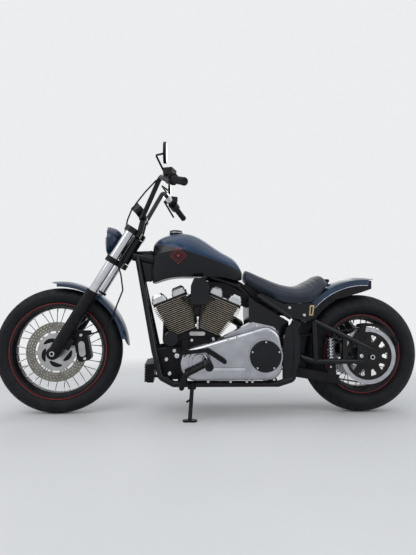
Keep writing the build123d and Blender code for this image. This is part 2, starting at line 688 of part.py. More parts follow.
def springs():
    turns = 7
    pitch = (SPRING_TO - SPRING_FROM) / turns
    points = [(0, SPRING_FROM)]
    for k in range(turns):
        points.append((SPRING_RADIUS - 7, SPRING_FROM + k * pitch))
        points.append((SPRING_RADIUS, SPRING_FROM + (k + 0.5) * pitch))
    points += [(SPRING_RADIUS - 7, SPRING_TO), (0, SPRING_TO)]
    coil = revolve(Plane.XZ * make_face(Polyline(*points, close=True)), Axis.Z)
    pair = [Pos(SPRING_X, y, 0) * coil for y in (-SPRING_HALF, SPRING_HALF)]
    PARTS["springs"] = Compound(children=pair)


PULLEY_FACE = REAR.hub_half + SEAT
BELT_Y = CASE_HALF + 3 + BELT_WIDTH / 2
LIP_Y = BELT_Y + BELT_WIDTH / 2 + BELT_GAP
ARM_HALF = LIP_Y + PULLEY_LIP_WIDTH + 4 + ARM_TUBE
RAIL_HALF = ARM_HALF - 5
REAR_AXLE_HALF = ARM_HALF + 27


def rear_wheel():
    PARTS["rear_tyre"] = tyre(REAR)
    PARTS["rear_wheel_rim"] = rim_and_hub(REAR)
    PARTS["rear_brake_disc"] = brake_disc(REAR, REAR_DISC_RADIUS, REAR_DISC_Y)
    ring = Circle(PULLEY_RADIUS) - Circle(PULLEY_RING)
    web = Circle(PULLEY_RING + 1) - Circle(AXLE_RADIUS + RUNNING)
    corners = [(r * cos(radians(a)), r * sin(radians(a))) for r, a in ((76, -5), (112, -10), (112, 10), (76, 5))]
    window = fillet(make_face(Polyline(*corners, close=True)).vertices(), 6)
    for k in range(PULLEY_ARMS):
        web -= Rot(0, 0, k * 360 / PULLEY_ARMS) * window
    lip = Circle(PULLEY_LIP) - Circle(PULLEY_RING)
    depth = LIP_Y - PULLEY_FACE
    pulley = extrude(ring, depth)
    pulley += Pos(0, 0, depth - PULLEY_WEB) * extrude(web, PULLEY_WEB)
    pulley += extrude(Circle(40) - Circle(AXLE_RADIUS + RUNNING), depth + PULLEY_LIP_WIDTH)
    pulley += Pos(0, 0, depth) * extrude(lip, PULLEY_LIP_WIDTH)
    PARTS["rear_pulley"] = Pos(REAR.x, -PULLEY_FACE, REAR.tyre_radius) * Rot(90, 0, 0) * pulley


def loop_face(rear_radius, front_radius):
    rear = Pos(REAR.x, REAR.tyre_radius) * Circle(rear_radius)
    front = Pos(*DERBY) * Circle(front_radius)
    return make_face(make_hull([*rear.edges(), *front.edges()]))


def belt():
    inner_rear = PULLEY_RADIUS + BELT_GAP
    inner_front = GEARBOX_PULLEY_RADIUS + SEAT
    face = loop_face(inner_rear + BELT_THICKNESS, inner_front + BELT_THICKNESS)
    face -= loop_face(inner_rear, inner_front)
    side = Plane(origin=(0, -BELT_Y - BELT_WIDTH / 2, 0), x_dir=(1, 0, 0), z_dir=(0, -1, 0))
    PARTS["drive_belt"] = extrude(side * face, -BELT_WIDTH)
    drum = across(*DERBY, -CASE_HALF, -BELT_Y - BELT_WIDTH / 2, GEARBOX_PULLEY_RADIUS)
    PARTS["gearbox"] += drum


def belt_guards():
    top = PULLEY_LIP + CLEAR + 3
    arc = Circle(top + 14) - Circle(top)
    keep = make_face(Polyline((0, 0), (-85, 260), (140, 260), (260, 100), close=True))
    band = extrude(arc & keep, ARM_HALF + 4 - (BELT_Y - 14))
    upper = Pos(REAR.x, -(BELT_Y - 14), REAR.tyre_radius) * Rot(90, 0, 0) * band
    post = slab([(1550, 404), (1602, 380), (1618, 484), (1592, 480)], -ARM_HALF + 4, -ARM_HALF - 4)
    upper += post - PARTS["swingarm"]
    plate_y = BELT_Y + BELT_WIDTH / 2 + BELT_GAP
    lower = slab([(1250, 224), (1480, 187), (1480, 175), (1250, 212)], -(BELT_Y - 12), -plate_y)
    lower += slab([(1250, 262), (1420, 234), (1425, SPRING_FROM - 8 - 2 * SEAT), (1460, SPRING_FROM - 8 - 2 * SEAT),
                   (1465, 226), (1480, 224), (1480, 175), (1250, 212)], -plate_y, -(plate_y + 3))
    PARTS["belt_guards"] = Compound(children=[upper, lower])


def engine_case():
    body = across(*CRANK, -CASE_HALF, CASE_HALF, 118)
    body += slab([(640, CASE_BOTTOM), (930, CASE_BOTTOM), (930, 392), (800, 410), (650, 400)],
                 CASE_HALF, -CASE_HALF, corner=14)
    body &= slab([(560, CASE_BOTTOM), (932, CASE_BOTTOM), (932, 460), (560, 460)], CASE_HALF, -CASE_HALF)
    box = slab([(932 + SEAT, CASE_BOTTOM), (1152, CASE_BOTTOM), (1152, 400), (1090, 436), (932 + SEAT, 420)],
               CASE_HALF, -CASE_HALF, corner=16)
    PARTS["gearbox"] = box
    body = body + deck_block()
    PARTS["crankcase"] = body


def cylinder_plane(side):
    """Plane through the crank, Z along the cylinder; side -1 is the front one."""
    a = radians(V_HALF) * side
    return Plane(origin=(CRANK[0], 0, CRANK[1]), x_dir=(cos(a), 0, -sin(a)), z_dir=(sin(a), 0, cos(a)))


def deck_block():
    blocks = None
    for side in (-1, 1):
        block = cylinder_plane(side) * Pos(0, 0, 130) * Box(130, 150, 2 * (FIN_FROM - SEAT - 130))
        blocks = block if blocks is None else blocks + block
    return blocks


def cylinders():
    barrels = []
    rockers = []
    pitch = (FIN_TO - FIN_FROM - FIN_THICKNESS) / (FIN_COUNT - 1)
    for side in (-1, 1):
        place = cylinder_plane(side)
        shift = side * 8
        core = Pos(0, 0, FIN_FROM) * extrude(Circle(BARREL_RADIUS), FIN_TO - FIN_FROM)
        for k in range(FIN_COUNT):
            share = k / (FIN_COUNT - 1)
            half = FIN_HALF_LOW + (FIN_HALF_HIGH - FIN_HALF_LOW) * min(1.0, 1.25 * share)
            fin = RectangleRounded(2 * half, 2 * FIN_DEPTH, 30)
            core += Pos(shift * share, 0, FIN_FROM + k * pitch) * extrude(fin, FIN_THICKNESS)
        head = RectangleRounded(2 * FIN_HALF_HIGH - 10, 2 * FIN_DEPTH - 10, 26)
        core += Pos(shift, 0, FIN_TO) * extrude(head, HEAD_HEIGHT)
        barrels.append(place * core)
        base = RectangleRounded(ROCKER_LENGTH, 2 * FIN_DEPTH - 16, 16)
        step = RectangleRounded(ROCKER_LENGTH - 12, 2 * FIN_DEPTH - 28, 14)
        top = RectangleRounded(ROCKER_LENGTH - 34, 2 * FIN_DEPTH - 50, 10)
        for end in (-1, 1):
            low = Pos(shift + end * ROCKER_HALF_SPAN, 0, FIN_TO + HEAD_HEIGHT + SEAT)
            foot = 0.35 * ROCKER_HEIGHT
            wall = 0.65 * ROCKER_HEIGHT
            lump = extrude(base, foot) + extrude(step, wall)
            lump += loft([Pos(0, 0, wall) * step, Pos(0, 0, ROCKER_HEIGHT) * top])
            rockers.append(place * low * lump)
    PARTS["cylinders"] = Compound(children=barrels)
    PARTS["rocker_boxes"] = Compound(children=rockers)


def horn():
    body = slab([(690, 588), (786, 588), (786, 682), (764, 722), (706, 722), (690, 682)], -94, -142, corner=10)
    stay = slab([(640, 606), (820, 606), (820, 620), (640, 620)], -FIN_DEPTH - SEAT, -98)
    PARTS["horn_cover"] = body + stay - PARTS["cylinders"] - PARTS["rocker_boxes"]


def engine_extras():
    PARTS["oil_filter"] = across(592, 405, -118, -40, 36) - PARTS["crankcase"] - PARTS["cylinders"]
    core = Pos(488, 0, 226) * Box(34, 190, 96)
    for k in range(8):
        core += Pos(488 - 17, 0, 184 + k * 12) * Box(28, 190, 4)
    core += rod((495, -88, 214), (552, -118, 214), 8) + rod((495, 88, 214), (552, 118, 214), 8)
    PARTS["regulator"] = core - PARTS["frame_cradle"]


def front_mount():
    outline = [(512, 350), (575, 360), (640, 362), (660, 300), (655, 200), (600, 196), (545, 226)]
    inner = CASE_HALF + SEAT
    plates = []
    for side in (-1, 1):
        plate = slab(outline, side * inner, side * (inner + 12), corner=8)
        plate += across(534, 268, side * (inner + 6), side * (RAIL_HALF - 14), 14)
        for other in ("frame_cradle", "regulator", "primary_cover", "cam_cover", "exhaust"):
            plate -= PARTS[other]
        plates.append(plate)
    PARTS["front_mount"] = Compound(children=plates)


def primary_face(grow=0.0):
    circles = [((725, 292), 84), (DERBY, DERBY_RADIUS + 13), ((1072, 400), 76), ((1088, 280), 68)]
    edges = []
    for centre, radius in circles:
        edges += (Pos(*centre) * Circle(radius + grow)).edges()
    return make_face(make_hull(edges))


def primary():
    front = -(CASE_HALF + SEAT) - PRIMARY_DEPTH
    side = Plane(origin=(0, front, 0), x_dir=(1, 0, 0), z_dir=(0, -1, 0))
    cover = extrude(side * primary_face(), -PRIMARY_DEPTH)
    cover = fillet(cover.faces().sort_by(Axis.Y)[0].edges(), 18)
    ring = across(*DERBY, front, front - 6, DERBY_RADIUS + 8)
    cover += ring
    inner = [(860, 420), (1011, 498), (1127, 474), (1160, 400), (1160, 300), (860, 300)]
    cover += slab(inner, -CASE_HALF - SEAT, -CASE_HALF - SEAT - INNER_PRIMARY_DEPTH, corner=16)
    for radius, height in CRANK_BOSS_STEPS:
        cover += across(*CRANK_BOSS, front + 1, front - height, radius)
    cover += slab([(800, 264), (963, 264), (963, 274), (800, 274)], front + 1, front - 5, corner=4)
    cover -= across(*DERBY, -CASE_HALF + 10, -BELT_Y - BELT_WIDTH / 2 - 2, GEARBOX_PULLEY_RADIUS + 8)
    cover -= belt_room()
    PARTS["primary_cover"] = cover
    derby = across(*DERBY, front - 6 - SEAT, front - DERBY_DEPTH, DERBY_RADIUS)
    PARTS["derby_cover"] = fillet(derby.faces().sort_by(Axis.Y)[0].edges(), 4)


def belt_room():
    rear = Pos(REAR.x, REAR.tyre_radius) * Circle(PULLEY_LIP + 8)
    front = Pos(*DERBY) * Circle(GEARBOX_PULLEY_RADIUS + 14)
    face = make_face(make_hull([*rear.edges(), *front.edges()]))
    side = Plane(origin=(0, -BELT_Y - BELT_WIDTH / 2 - 4, 0), x_dir=(1, 0, 0), z_dir=(0, -1, 0))
    return extrude(side * face, -(BELT_WIDTH + 30))


def right_side():
    y = CASE_HALF + SEAT
    cam = across(*CRANK, y, y + 46, 76)
    cam += slab([(740, 210), (920, 225), (930, 330), (780, 368)], y + 40, y, corner=14)
    for x_low, x_high, z_high in ((690, 610, 560), (704, 640, 570), (752, 816, 570), (766, 846, 560)):
        cam += rod((x_low, y + 20, 330), (x_high, 94, z_high), 8)
    cam -= PARTS["crankcase"]
    PARTS["cam_cover"] = cam - PARTS["cylinders"] - PARTS["rocker_boxes"]
    cleaner = across(736, 560, 96, 168, 92)
    cleaner = fillet(cleaner.faces().sort_by(Axis.Y)[-1].edges(), 18)
    cleaner += across(735, 545, 30, 97, 24)
    PARTS["air_cleaner"] = cleaner - PARTS["cylinders"] - PARTS["rocker_boxes"] - PARTS["cam_cover"]


def exhaust():
    front = [(600, 60, 500), (560, 135, 470), (556, 176, 360), (640, 190, 262), (800, 196, 250)]
    rear = [(925, 60, 505), (985, 130, 470), (1010, 186, 400), (1090, 193, 352), (1180, 196, 340)]
    pipes = pipe(front, 22, 34) + rod((800, 196, 250), (1560, 196, 236), 32)
    uppers = pipe(rear, 22, 34) + rod((1180, 196, 340), (1620, 196, 318), 32)
    both = pipes + uppers
    both += slab([(1205, 250), (1235, 250), (1235, 330), (1205, 330)], 206, RAIL_HALF + 10 + SEAT)
    both -= rod((1500, 196, 237.1), (1561, 196, 235.98), 28)
    both -= rod((1560, 196, 321), (1621, 196, 317.95), 28)
    both -= PARTS["cylinders"]
    PARTS["exhaust"] = both - PARTS["frame_cradle"] - PARTS["crankcase"]


def foot_controls():
    for name, side in (("foot_peg_left", -1), ("foot_peg_right", 1)):
        path = [(650, side * (RAIL_HALF + FRAME_TUBE + SEAT), RAIL_Z), (650, side * 236, RAIL_Z), (664, side * 244, 246),
                (776, side * 250, 304)]
        arm = pipe(path, 13, 14)
        arm += across(776, 304, side * 240, side * 348, 20)
        PARTS[name] = arm
    face = -(CASE_HALF + SEAT) - PRIMARY_DEPTH
    outline = [(622, 338), (768, 354), (SHIFT_SHAFT[0] - 7, SHIFT_SHAFT[1] - 9),
               (SHIFT_SHAFT[0] + 8, SHIFT_SHAFT[1] + 9), (777, 375), (622, 357)]
    lever = slab(outline, face - 17, face - 27, corner=5)
    lever += across(*SHIFT_SHAFT, face - SEAT, face - 30, 11)
    lever += across(632, 347.5, face - 13, face - 96, 12)
    PARTS["shifter"] = lever
    pedal = pipe([(652, 262, 212), (600, 266, 262), (560, 268, 330)], 7, 20)
    pedal += across(556, 336, 262, 330, 11)
    pedal += across(654, 208, 236, 272, 13)
    PARTS["brake_pedal"] = pedal - PARTS["foot_peg_right"]


def rear_brake():
    body = caliper(REAR, REAR_DISC_RADIUS, REAR_DISC_Y, 1, REAR_CALIPER_ANGLE)
    outer = REAR_DISC_Y + DISC_THICKNESS / 2 + BELT_GAP
    body += slab([(1556, 455), (1590, 440), (1620, 372), (1580, 378), (1540, 420)], outer + 14, outer)
    body += slab([(1580, 378), (1620, 372), (1620, 350), (1580, 350)], ARM_HALF - ARM_TUBE - SEAT + 1, outer)
    PARTS["rear_caliper"] = body - PARTS["swingarm"]


def side_stand():
    slope = tan(radians(LEAN))
    ground = -STAND_FOOT_Y * slope
    hub = across(*STAND_PIVOT, STAND_Y - 8, STAND_Y + 18 - SEAT, STAND_HUB)
    foot = (STAND_FOOT_X, STAND_FOOT_Y, ground + 5)
    leg = hub + rod((STAND_PIVOT[0], STAND_Y, STAND_PIVOT[1]), foot, STAND_RADIUS)
    up = Vector(0, slope, 1).normalized()
    pad = Plane(origin=(STAND_FOOT_X, STAND_FOOT_Y, ground), x_dir=(1, 0, 0), z_dir=up)
    leg += pad * extrude(SlotOverall(2 * STAND_PAD + 22, 2 * STAND_PAD - 12), 9)
    leg += rod((699, STAND_Y - 15, 120), (676, STAND_Y - 40, 112), 5)
    PARTS["side_stand"] = leg


def build():
    front_wheel()
    fork_legs()
    clamps()
    headlamp()
    handlebar()
    bar_fittings()
    gauge()
    front_guard()
    front_brake()
    cables()
    frame_tubes()
    seat()
    tank()
    rear_guard()
    frame_tail()
    side_cover()
    swingarm()
    springs()
    rear_wheel()
    engine_case()
    belt()
    belt_guards()
    cylinders()
    horn()
    engine_extras()
    primary()
    right_side()
    exhaust()
    front_mount()
    foot_controls()
    rear_brake()
    side_stand()


build()

leaned = Rot(LEAN, 0, 0)
for name, shape in PARTS.items():
    PARTS[name] = leaned * shape
boxes = [shape.bounding_box() for shape in PARTS.values()]
middle_x = (min(b.min.X for b in boxes) + max(b.max.X for b in boxes)) / 2
middle_y = (min(b.min.Y for b in boxes) + max(b.max.Y for b in boxes)) / 2
lowest = min(b.min.Z for b in boxes)
SHIFT = (-middle_x, -middle_y, -lowest)
for name, shape in PARTS.items():
    export_step(Pos(*SHIFT) * shape, f"parts/{name}.step")
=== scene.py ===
import bmesh
import bpy
from math import atan2, cos, hypot, pi, radians, sin, tau
from mathutils import Matrix, Vector

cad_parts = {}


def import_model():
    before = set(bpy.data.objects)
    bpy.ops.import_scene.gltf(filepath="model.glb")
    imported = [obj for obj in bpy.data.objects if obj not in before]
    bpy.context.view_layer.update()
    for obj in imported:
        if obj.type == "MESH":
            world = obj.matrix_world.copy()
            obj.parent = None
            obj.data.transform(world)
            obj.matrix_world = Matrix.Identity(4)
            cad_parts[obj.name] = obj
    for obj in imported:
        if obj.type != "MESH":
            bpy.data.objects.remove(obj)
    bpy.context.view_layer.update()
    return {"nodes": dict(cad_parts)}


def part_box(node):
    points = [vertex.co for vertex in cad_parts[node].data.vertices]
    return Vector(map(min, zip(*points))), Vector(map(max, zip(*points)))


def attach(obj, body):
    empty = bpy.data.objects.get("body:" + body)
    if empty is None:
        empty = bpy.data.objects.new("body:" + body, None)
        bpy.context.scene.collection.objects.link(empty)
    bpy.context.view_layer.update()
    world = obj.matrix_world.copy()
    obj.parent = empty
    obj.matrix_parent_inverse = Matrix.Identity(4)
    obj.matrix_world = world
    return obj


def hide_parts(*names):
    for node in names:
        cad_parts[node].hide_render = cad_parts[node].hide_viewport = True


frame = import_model()
scene = bpy.context.scene
nodes = frame["nodes"]

# The machine is drawn upright in millimetres, front axle at X 0, and leans over on its stand
LEAN = radians(5)
# A tyre's half width, the drop from its crown to its shoulder, its bead, and the rim and hub inside it
FRONT = {"name": "front", "x": 0, "z": 331, "radius": 331, "half": 50, "drop": 37, "bead": 241,
         "rim_half": 38, "rim_inner": 222, "flange_y": 32, "flange_radius": 40}
REAR = {"name": "rear", "x": 1640, "z": 323, "radius": 323, "half": 76, "drop": 55, "bead": 203,
        "rim_half": 50, "rim_inner": 184, "flange_y": 46, "flange_radius": 48}
# The cylinders stand on the crank's axis, half the V to each side; their fins lie this far along them
CRANK = (728, 280)
V_HALF = radians(22.5)
FIN_FROM = 176
FIN_TO = 352
# Middles of the two round steps of the primary cover
DERBY = (1067, 333)
BOSS = (737, 305)
UP = (0, 0, 1)


def centre_of(node):
    low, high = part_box(node)
    return (Vector(low) + Vector(high)) / 2


TURN = Matrix.Rotation(LEAN, 4, "X")
SHIFT = centre_of("front_axle") - TURN @ Vector((FRONT["x"], 0, FRONT["z"])) / 1000
UPRIGHT = Matrix.Translation(SHIFT) @ TURN @ Matrix.Scale(0.001, 4)


# Camera

# Fitted to the photograph: focal length and height in pixels, turns in radians and place in metres
FOCAL = 382.39
TALL = 555.0
YAW, PITCH, ROLL = 0.067903, 0.131806, 0.006577
CAMERA_AT = Vector((-0.17094, -2.06086, 0.45105))


def camera():
    ahead = Vector((sin(YAW) * cos(PITCH), cos(YAW) * cos(PITCH), sin(PITCH)))
    right = Vector((cos(YAW), -sin(YAW), 0.0))
    up = right.cross(ahead)
    across = right * cos(ROLL) + up * sin(ROLL)
    over = up * cos(ROLL) - right * sin(ROLL)
    data = bpy.data.cameras.new("camera")
    data.lens = FOCAL / TALL * data.sensor_width
    eye = bpy.data.objects.new("camera", data)
    turn = Matrix((across, over, -ahead)).transposed().to_4x4()
    eye.matrix_world = Matrix.Translation(CAMERA_AT) @ turn
    scene.collection.objects.link(eye)
    scene.camera = eye


camera()


# Materials

# Most of a noise lies between these values
NOISE_LOW = 0.3
NOISE_HIGH = 0.7


class Nodes:
    """The few node chains that the materials and the world share; lengths are in metres."""

    def __init__(self, name, kind=bpy.data.materials):
        self.owner = kind.new(name)
        self.owner.use_nodes = True
        self.tree = self.owner.node_tree
        self.shader = self.tree.nodes.get("Principled BSDF")
        self.place = self.tree.nodes.new("ShaderNodeTexCoord").outputs["Object"]

    def add(self, kind, **values):
        node = self.tree.nodes.new(kind)
        for key, value in values.items():
            node.inputs[key.replace("_", " ")].default_value = value
        return node

    def link(self, out, into):
        self.tree.links.new(out, into)

    def set(self, **values):
        """Plain numbers on the shader's own sockets."""
        for key, value in values.items():
            self.shader.inputs[key.replace("_", " ")].default_value = value

    def colour(self, source):
        self.link(source, self.shader.inputs["Base Color"])

    def rough(self, low, high, scale, detail=4.0, roughness=0.5):
        """Roughness that wanders between two values with a noise."""
        wander = self.noise(scale, detail, roughness)
        self.link(self.mapped(wander, NOISE_LOW, NOISE_HIGH, low, high), self.shader.inputs["Roughness"])

    def noise(self, scale, detail=3.0, roughness=0.5):
        node = self.add("ShaderNodeTexNoise", Scale=scale, Detail=detail, Roughness=roughness)
        self.link(self.place, node.inputs["Vector"])
        return node.outputs["Fac"]

    def cells(self, scale):
        node = self.add("ShaderNodeTexVoronoi", Scale=scale)
        self.link(self.place, node.inputs["Vector"])
        return node.outputs["Distance"]

    def ramp(self, value, low, high, start=NOISE_LOW, stop=NOISE_HIGH):
        node = self.tree.nodes.new("ShaderNodeValToRGB")
        node.color_ramp.elements[0].position = start
        node.color_ramp.elements[0].color = (*low, 1.0)
        node.color_ramp.elements[1].position = stop
        node.color_ramp.elements[1].color = (*high, 1.0)
        self.link(value, node.inputs["Fac"])
        return node.outputs["Color"]

    def mapped(self, value, start, stop, low=0.0, high=1.0, kind="LINEAR"):
        """Goes from low to high as a value goes from start to stop."""
        node = self.add("ShaderNodeMapRange", From_Min=start, From_Max=stop, To_Min=low, To_Max=high)
        node.interpolation_type = kind
        self.link(value, node.inputs["Value"])
        return node.outputs["Result"]

    def bump(self, height, distance, strength=1.0):
        node = self.add("ShaderNodeBump", Strength=strength, Distance=distance)
        self.link(height, node.inputs["Height"])
        previous = self.shader.inputs["Normal"]
        if previous.links:
            self.link(previous.links[0].from_socket, node.inputs["Normal"])
        self.link(node.outputs["Normal"], previous)

    def compute(self, kind, operation, values, output):
        node = self.tree.nodes.new(kind)
        node.operation = operation
        for socket, value in zip(node.inputs, values):
            if isinstance(value, bpy.types.NodeSocket):
                self.link(value, socket)
            else:
                socket.default_value = value
        return node.outputs[output]

    def math(self, operation, *values):
        return self.compute("ShaderNodeMath", operation, values, "Value")

    def vector(self, operation, *values):
        single = operation in ("LENGTH", "DOT_PRODUCT")
        return self.compute("ShaderNodeVectorMath", operation, values, "Value" if single else "Vector")

    def from_line(self, point, axis):
        """Distance of the surface from a line through an upright point, in metres."""
        away = self.vector("SUBTRACT", self.place, UPRIGHT @ Vector(point))
        return self.vector("LENGTH", self.vector("CROSS_PRODUCT", away, TURN @ Vector(axis)))

    def along_line(self, point, axis):
        """How far the surface lies along an axis from an upright point, in metres."""
        away = self.vector("SUBTRACT", self.place, UPRIGHT @ Vector(point))
        return self.vector("DOT_PRODUCT", away, TURN @ Vector(axis))

    def from_axle(self, wheel):
        return self.from_line((wheel["x"], 0.0, wheel["z"]), (0.0, 1.0, 0.0))

    def mixed(self, share, low, high):
        """One colour or the other, by a share from 0 to 1."""
        node = self.tree.nodes.new("ShaderNodeMix")
        node.data_type = "RGBA"
        self.link(share, node.inputs["Factor"])
        self.link(low, node.inputs["A"])
        self.link(high, node.inputs["B"])
        return node.outputs["Result"]

    def mix_shaders(self, share, low, high, output):
        """One shader or the other, by a share from 0 to 1, as the surface of an output node."""
        mix = self.tree.nodes.new("ShaderNodeMixShader")
        self.link(share, mix.inputs["Fac"])
        self.link(low.outputs[0], mix.inputs[1])
        self.link(high.outputs[0], mix.inputs[2])
        self.link(mix.outputs[0], self.tree.nodes[output].inputs["Surface"])


def paint(name, dark, light, rough, coat, shine):
    """Gloss paint: a faint colour drift, fine orange peel under a clear coat."""
    m = Nodes(name)
    m.colour(m.ramp(m.noise(9.0), dark, light))
    m.rough(rough, rough + 0.10, 34.0, 5.0)
    m.set(Specular_IOR_Level=shine, Coat_Weight=coat, Coat_Roughness=0.05)
    m.bump(m.noise(420.0, 2.0), 0.00004, 0.25)
    return m.owner


# Front end of the crease on the tank's flank, where the painted sky light of the top gives way to painted
# shade below, and how it falls and bends towards the back
CREASE = (533.0, 0.0, 895.0)
CREASE_FALL = 0.23
CREASE_BEND = 0.16
CREASE_SOFT = 0.001


def tank_paint_painted_sky_and_shade(name, top, side):
    """The tank's blue runs down to a crease along its flank, and is black below it: the lighter blue top is a
    painted reflection of the sky and the black flank is painted shade.
    """
    m = Nodes(name)
    back = m.along_line(CREASE, (1.0, 0.0, 0.0))
    bend = m.math("MULTIPLY", m.math("MULTIPLY", back, back), CREASE_BEND)
    fall = m.math("ADD", m.math("MULTIPLY", back, CREASE_FALL), bend)
    above = m.math("ADD", m.along_line(CREASE, UP), fall)
    # 1 above the crease, where the top gets its painted sky light, and 0 below, where the flank gets painted
    # shade
    share = m.mapped(above, -CREASE_SOFT, CREASE_SOFT)
    m.colour(m.mixed(share, m.ramp(m.noise(9.0), *side), m.ramp(m.noise(7.0), *top)))
    m.rough(0.24, 0.34, 34.0, 5.0)
    m.set(Specular_IOR_Level=0.18, Coat_Weight=0.25, Coat_Roughness=0.16)
    m.bump(m.noise(420.0, 2.0), 0.00004, 0.25)
    return m.owner


# Fins are bright on faces that look along the cylinder's axis by less than this share, and that lie
# further from the axis than this, in metres
FIN_EDGE_TILT = 0.25
FIN_BRIGHT_FROM = 0.058


def finned(name, dark, bright):
    """Black fins whose outer edges are cut back to bright metal."""
    m = Nodes(name)
    normal = m.tree.nodes.new("ShaderNodeNewGeometry").outputs["Normal"]
    crank = (CRANK[0], 0.0, CRANK[1])
    shares = []
    for side in (-1, 1):
        axis = (sin(side * V_HALF), 0.0, cos(side * V_HALF))
        tilt = m.math("ABSOLUTE", m.vector("DOT_PRODUCT", normal, TURN @ Vector(axis)))
        edge = m.math("LESS_THAN", tilt, FIN_EDGE_TILT)
        outside = m.math("GREATER_THAN", m.from_line(crank, axis), FIN_BRIGHT_FROM)
        below = m.math("LESS_THAN", m.along_line(crank, axis), FIN_TO / 1000)
        to_side = m.math("MULTIPLY", m.along_line(crank, (1.0, 0.0, 0.0)), float(side))
        on_side = m.math("GREATER_THAN", to_side, 0.0)
        within = m.math("MULTIPLY", below, on_side)
        shares.append(m.math("MULTIPLY", m.math("MULTIPLY", edge, outside), within))
    share = m.math("ADD", *shares)
    m.colour(m.mixed(share, m.ramp(m.noise(26.0, 5.0), *dark), m.ramp(m.noise(60.0, 4.0), *bright)))
    m.link(m.math("MULTIPLY", share, 0.4), m.shader.inputs["Metallic"])
    m.rough(0.46, 0.60, 70.0)
    m.set(Specular_IOR_Level=0.2)
    m.bump(m.noise(1200.0, 3.0), 0.00006)
    return m.owner


def coated(name, dark, light, rough, grain, depth, shine=0.20):
    """Powder coat, cast or moulded black with its own grain."""
    m = Nodes(name)
    m.colour(m.ramp(m.noise(26.0, 5.0), dark, light))
    m.rough(rough, rough + 0.16, 70.0)
    m.set(Specular_IOR_Level=shine)
    m.bump(m.noise(grain, 3.0), depth)
    return m.owner


def metal(name, dark, light, rough, spread, grain=900.0, depth=0.00002):
    m = Nodes(name)
    m.colour(m.ramp(m.noise(18.0, 6.0), dark, light))
    m.rough(rough, rough + spread, 48.0, 6.0, 0.6)
    m.set(Metallic=1.0)
    m.bump(m.noise(grain, 2.0), depth, 0.4)
    return m.owner


# Radians of the ring pattern in each metre from the axle: a ring every 1.2 mm
GRINDING = 5200.0


def turned(name, wheel, low, high):
    """Steel ground in rings about a wheel's axle."""
    m = Nodes(name)
    m.colour(m.ramp(m.noise(30.0, 5.0), low, high))
    m.rough(0.24, 0.40, 120.0, 5.0)
    m.set(Metallic=1.0)
    m.bump(m.math("SINE", m.math("MULTIPLY", m.from_axle(wheel), GRINDING)), 0.00002, 0.5)
    return m.owner


def bright_inside(name, wheel, edge, bright, dark):
    """One casting with a bright middle and a black ring from a radius outwards."""
    m = Nodes(name)
    share = m.mapped(m.from_axle(wheel), edge, edge + 0.0012)
    m.colour(m.mixed(share, m.ramp(m.noise(40.0), *bright), m.ramp(m.noise(22.0), *dark)))
    m.link(m.math("SUBTRACT", 1.0, share), m.shader.inputs["Metallic"])
    m.rough(0.18, 0.34, 60.0)
    m.set(Specular_IOR_Level=0.20)
    m.bump(m.noise(500.0), 0.00003, 0.4)
    return m.owner


def ringed(name, wheel, edge, dark, bright):
    """Black inside a radius and a bright turned ring outside it."""
    m = Nodes(name)
    share = m.math("GREATER_THAN", m.from_axle(wheel), edge)
    m.colour(m.mixed(share, m.ramp(m.noise(26.0), *dark), m.ramp(m.noise(44.0, 5.0), *bright)))
    m.link(share, m.shader.inputs["Metallic"])
    m.rough(0.26, 0.38, 80.0)
    m.set(Specular_IOR_Level=0.2)
    m.bump(m.noise(900.0), 0.00003, 0.4)
    return m.owner


def rubber(name, dark, light, rough, grain):
    m = Nodes(name)
    m.colour(m.ramp(m.noise(14.0, 6.0, 0.65), dark, light))
    m.rough(rough, rough + 0.18, 90.0)
    m.set(Specular_IOR_Level=0.18)
    m.bump(m.noise(grain, 3.0), 0.00012, 0.6)
    return m.owner


def leather(name, dark, light):
    """Grained seat cover: pebbled cells, creases between them and a soft sheen."""
    m = Nodes(name)
    m.colour(m.ramp(m.noise(11.0, 6.0, 0.6), dark, light))
    m.rough(0.36, 0.54, 130.0)
    m.set(Specular_IOR_Level=0.28, Sheen_Weight=0.12)
    m.bump(m.cells(620.0), 0.00022, 0.5)
    m.bump(m.noise(60.0, 4.0), 0.0005, 0.25)
    return m.owner


def glass(name):
    m = Nodes(name)
    m.colour(m.ramp(m.noise(20.0), (0.86, 0.90, 0.93), (0.95, 0.97, 0.98)))
    m.set(Roughness=0.03, Transmission_Weight=0.92, IOR=1.45)
    m.bump(m.noise(160.0), 0.00004, 0.2)
    return m.owner


TYRE = rubber("tyre", (0.005, 0.0055, 0.007), (0.013, 0.014, 0.017), 0.55, 700.0)
GRIP = rubber("moulded_rubber", (0.006, 0.006, 0.007), (0.014, 0.014, 0.016), 0.48, 900.0)
BLUE = paint("midnight_blue_paint", (0.007, 0.022, 0.052), (0.012, 0.036, 0.082), 0.16, 0.35, 0.25)
# The tank's top colour is its blue with a painted sky reflection; the flank's near-black is painted shade
TANK_SKY_AND_SHADE = tank_paint_painted_sky_and_shade("tank_paint_painted_sky_and_shade", ((0.009, 0.028, 0.066), (0.015, 0.044, 0.100)),
                  ((0.002, 0.003, 0.005), (0.004, 0.005, 0.009)))
BLACK = paint("gloss_black_paint", (0.003, 0.0034, 0.005), (0.006, 0.007, 0.010), 0.20, 0.20, 0.16)
SATIN = coated("satin_black", (0.004, 0.004, 0.005), (0.010, 0.010, 0.012), 0.34, 900.0, 0.00005, 0.15)
CAST = coated("black_casting", (0.004, 0.004, 0.005), (0.011, 0.011, 0.013), 0.42, 1500.0, 0.00010, 0.12)
FINS = finned("black_fins", ((0.008, 0.008, 0.009), (0.018, 0.017, 0.016)),
              ((0.26, 0.23, 0.18), (0.40, 0.36, 0.29)))
CHROME = metal("chrome", (0.52, 0.53, 0.56), (0.64, 0.65, 0.68), 0.06, 0.08)
POLISHED = metal("polished_alloy", (0.34, 0.35, 0.38), (0.46, 0.47, 0.50), 0.14, 0.12)
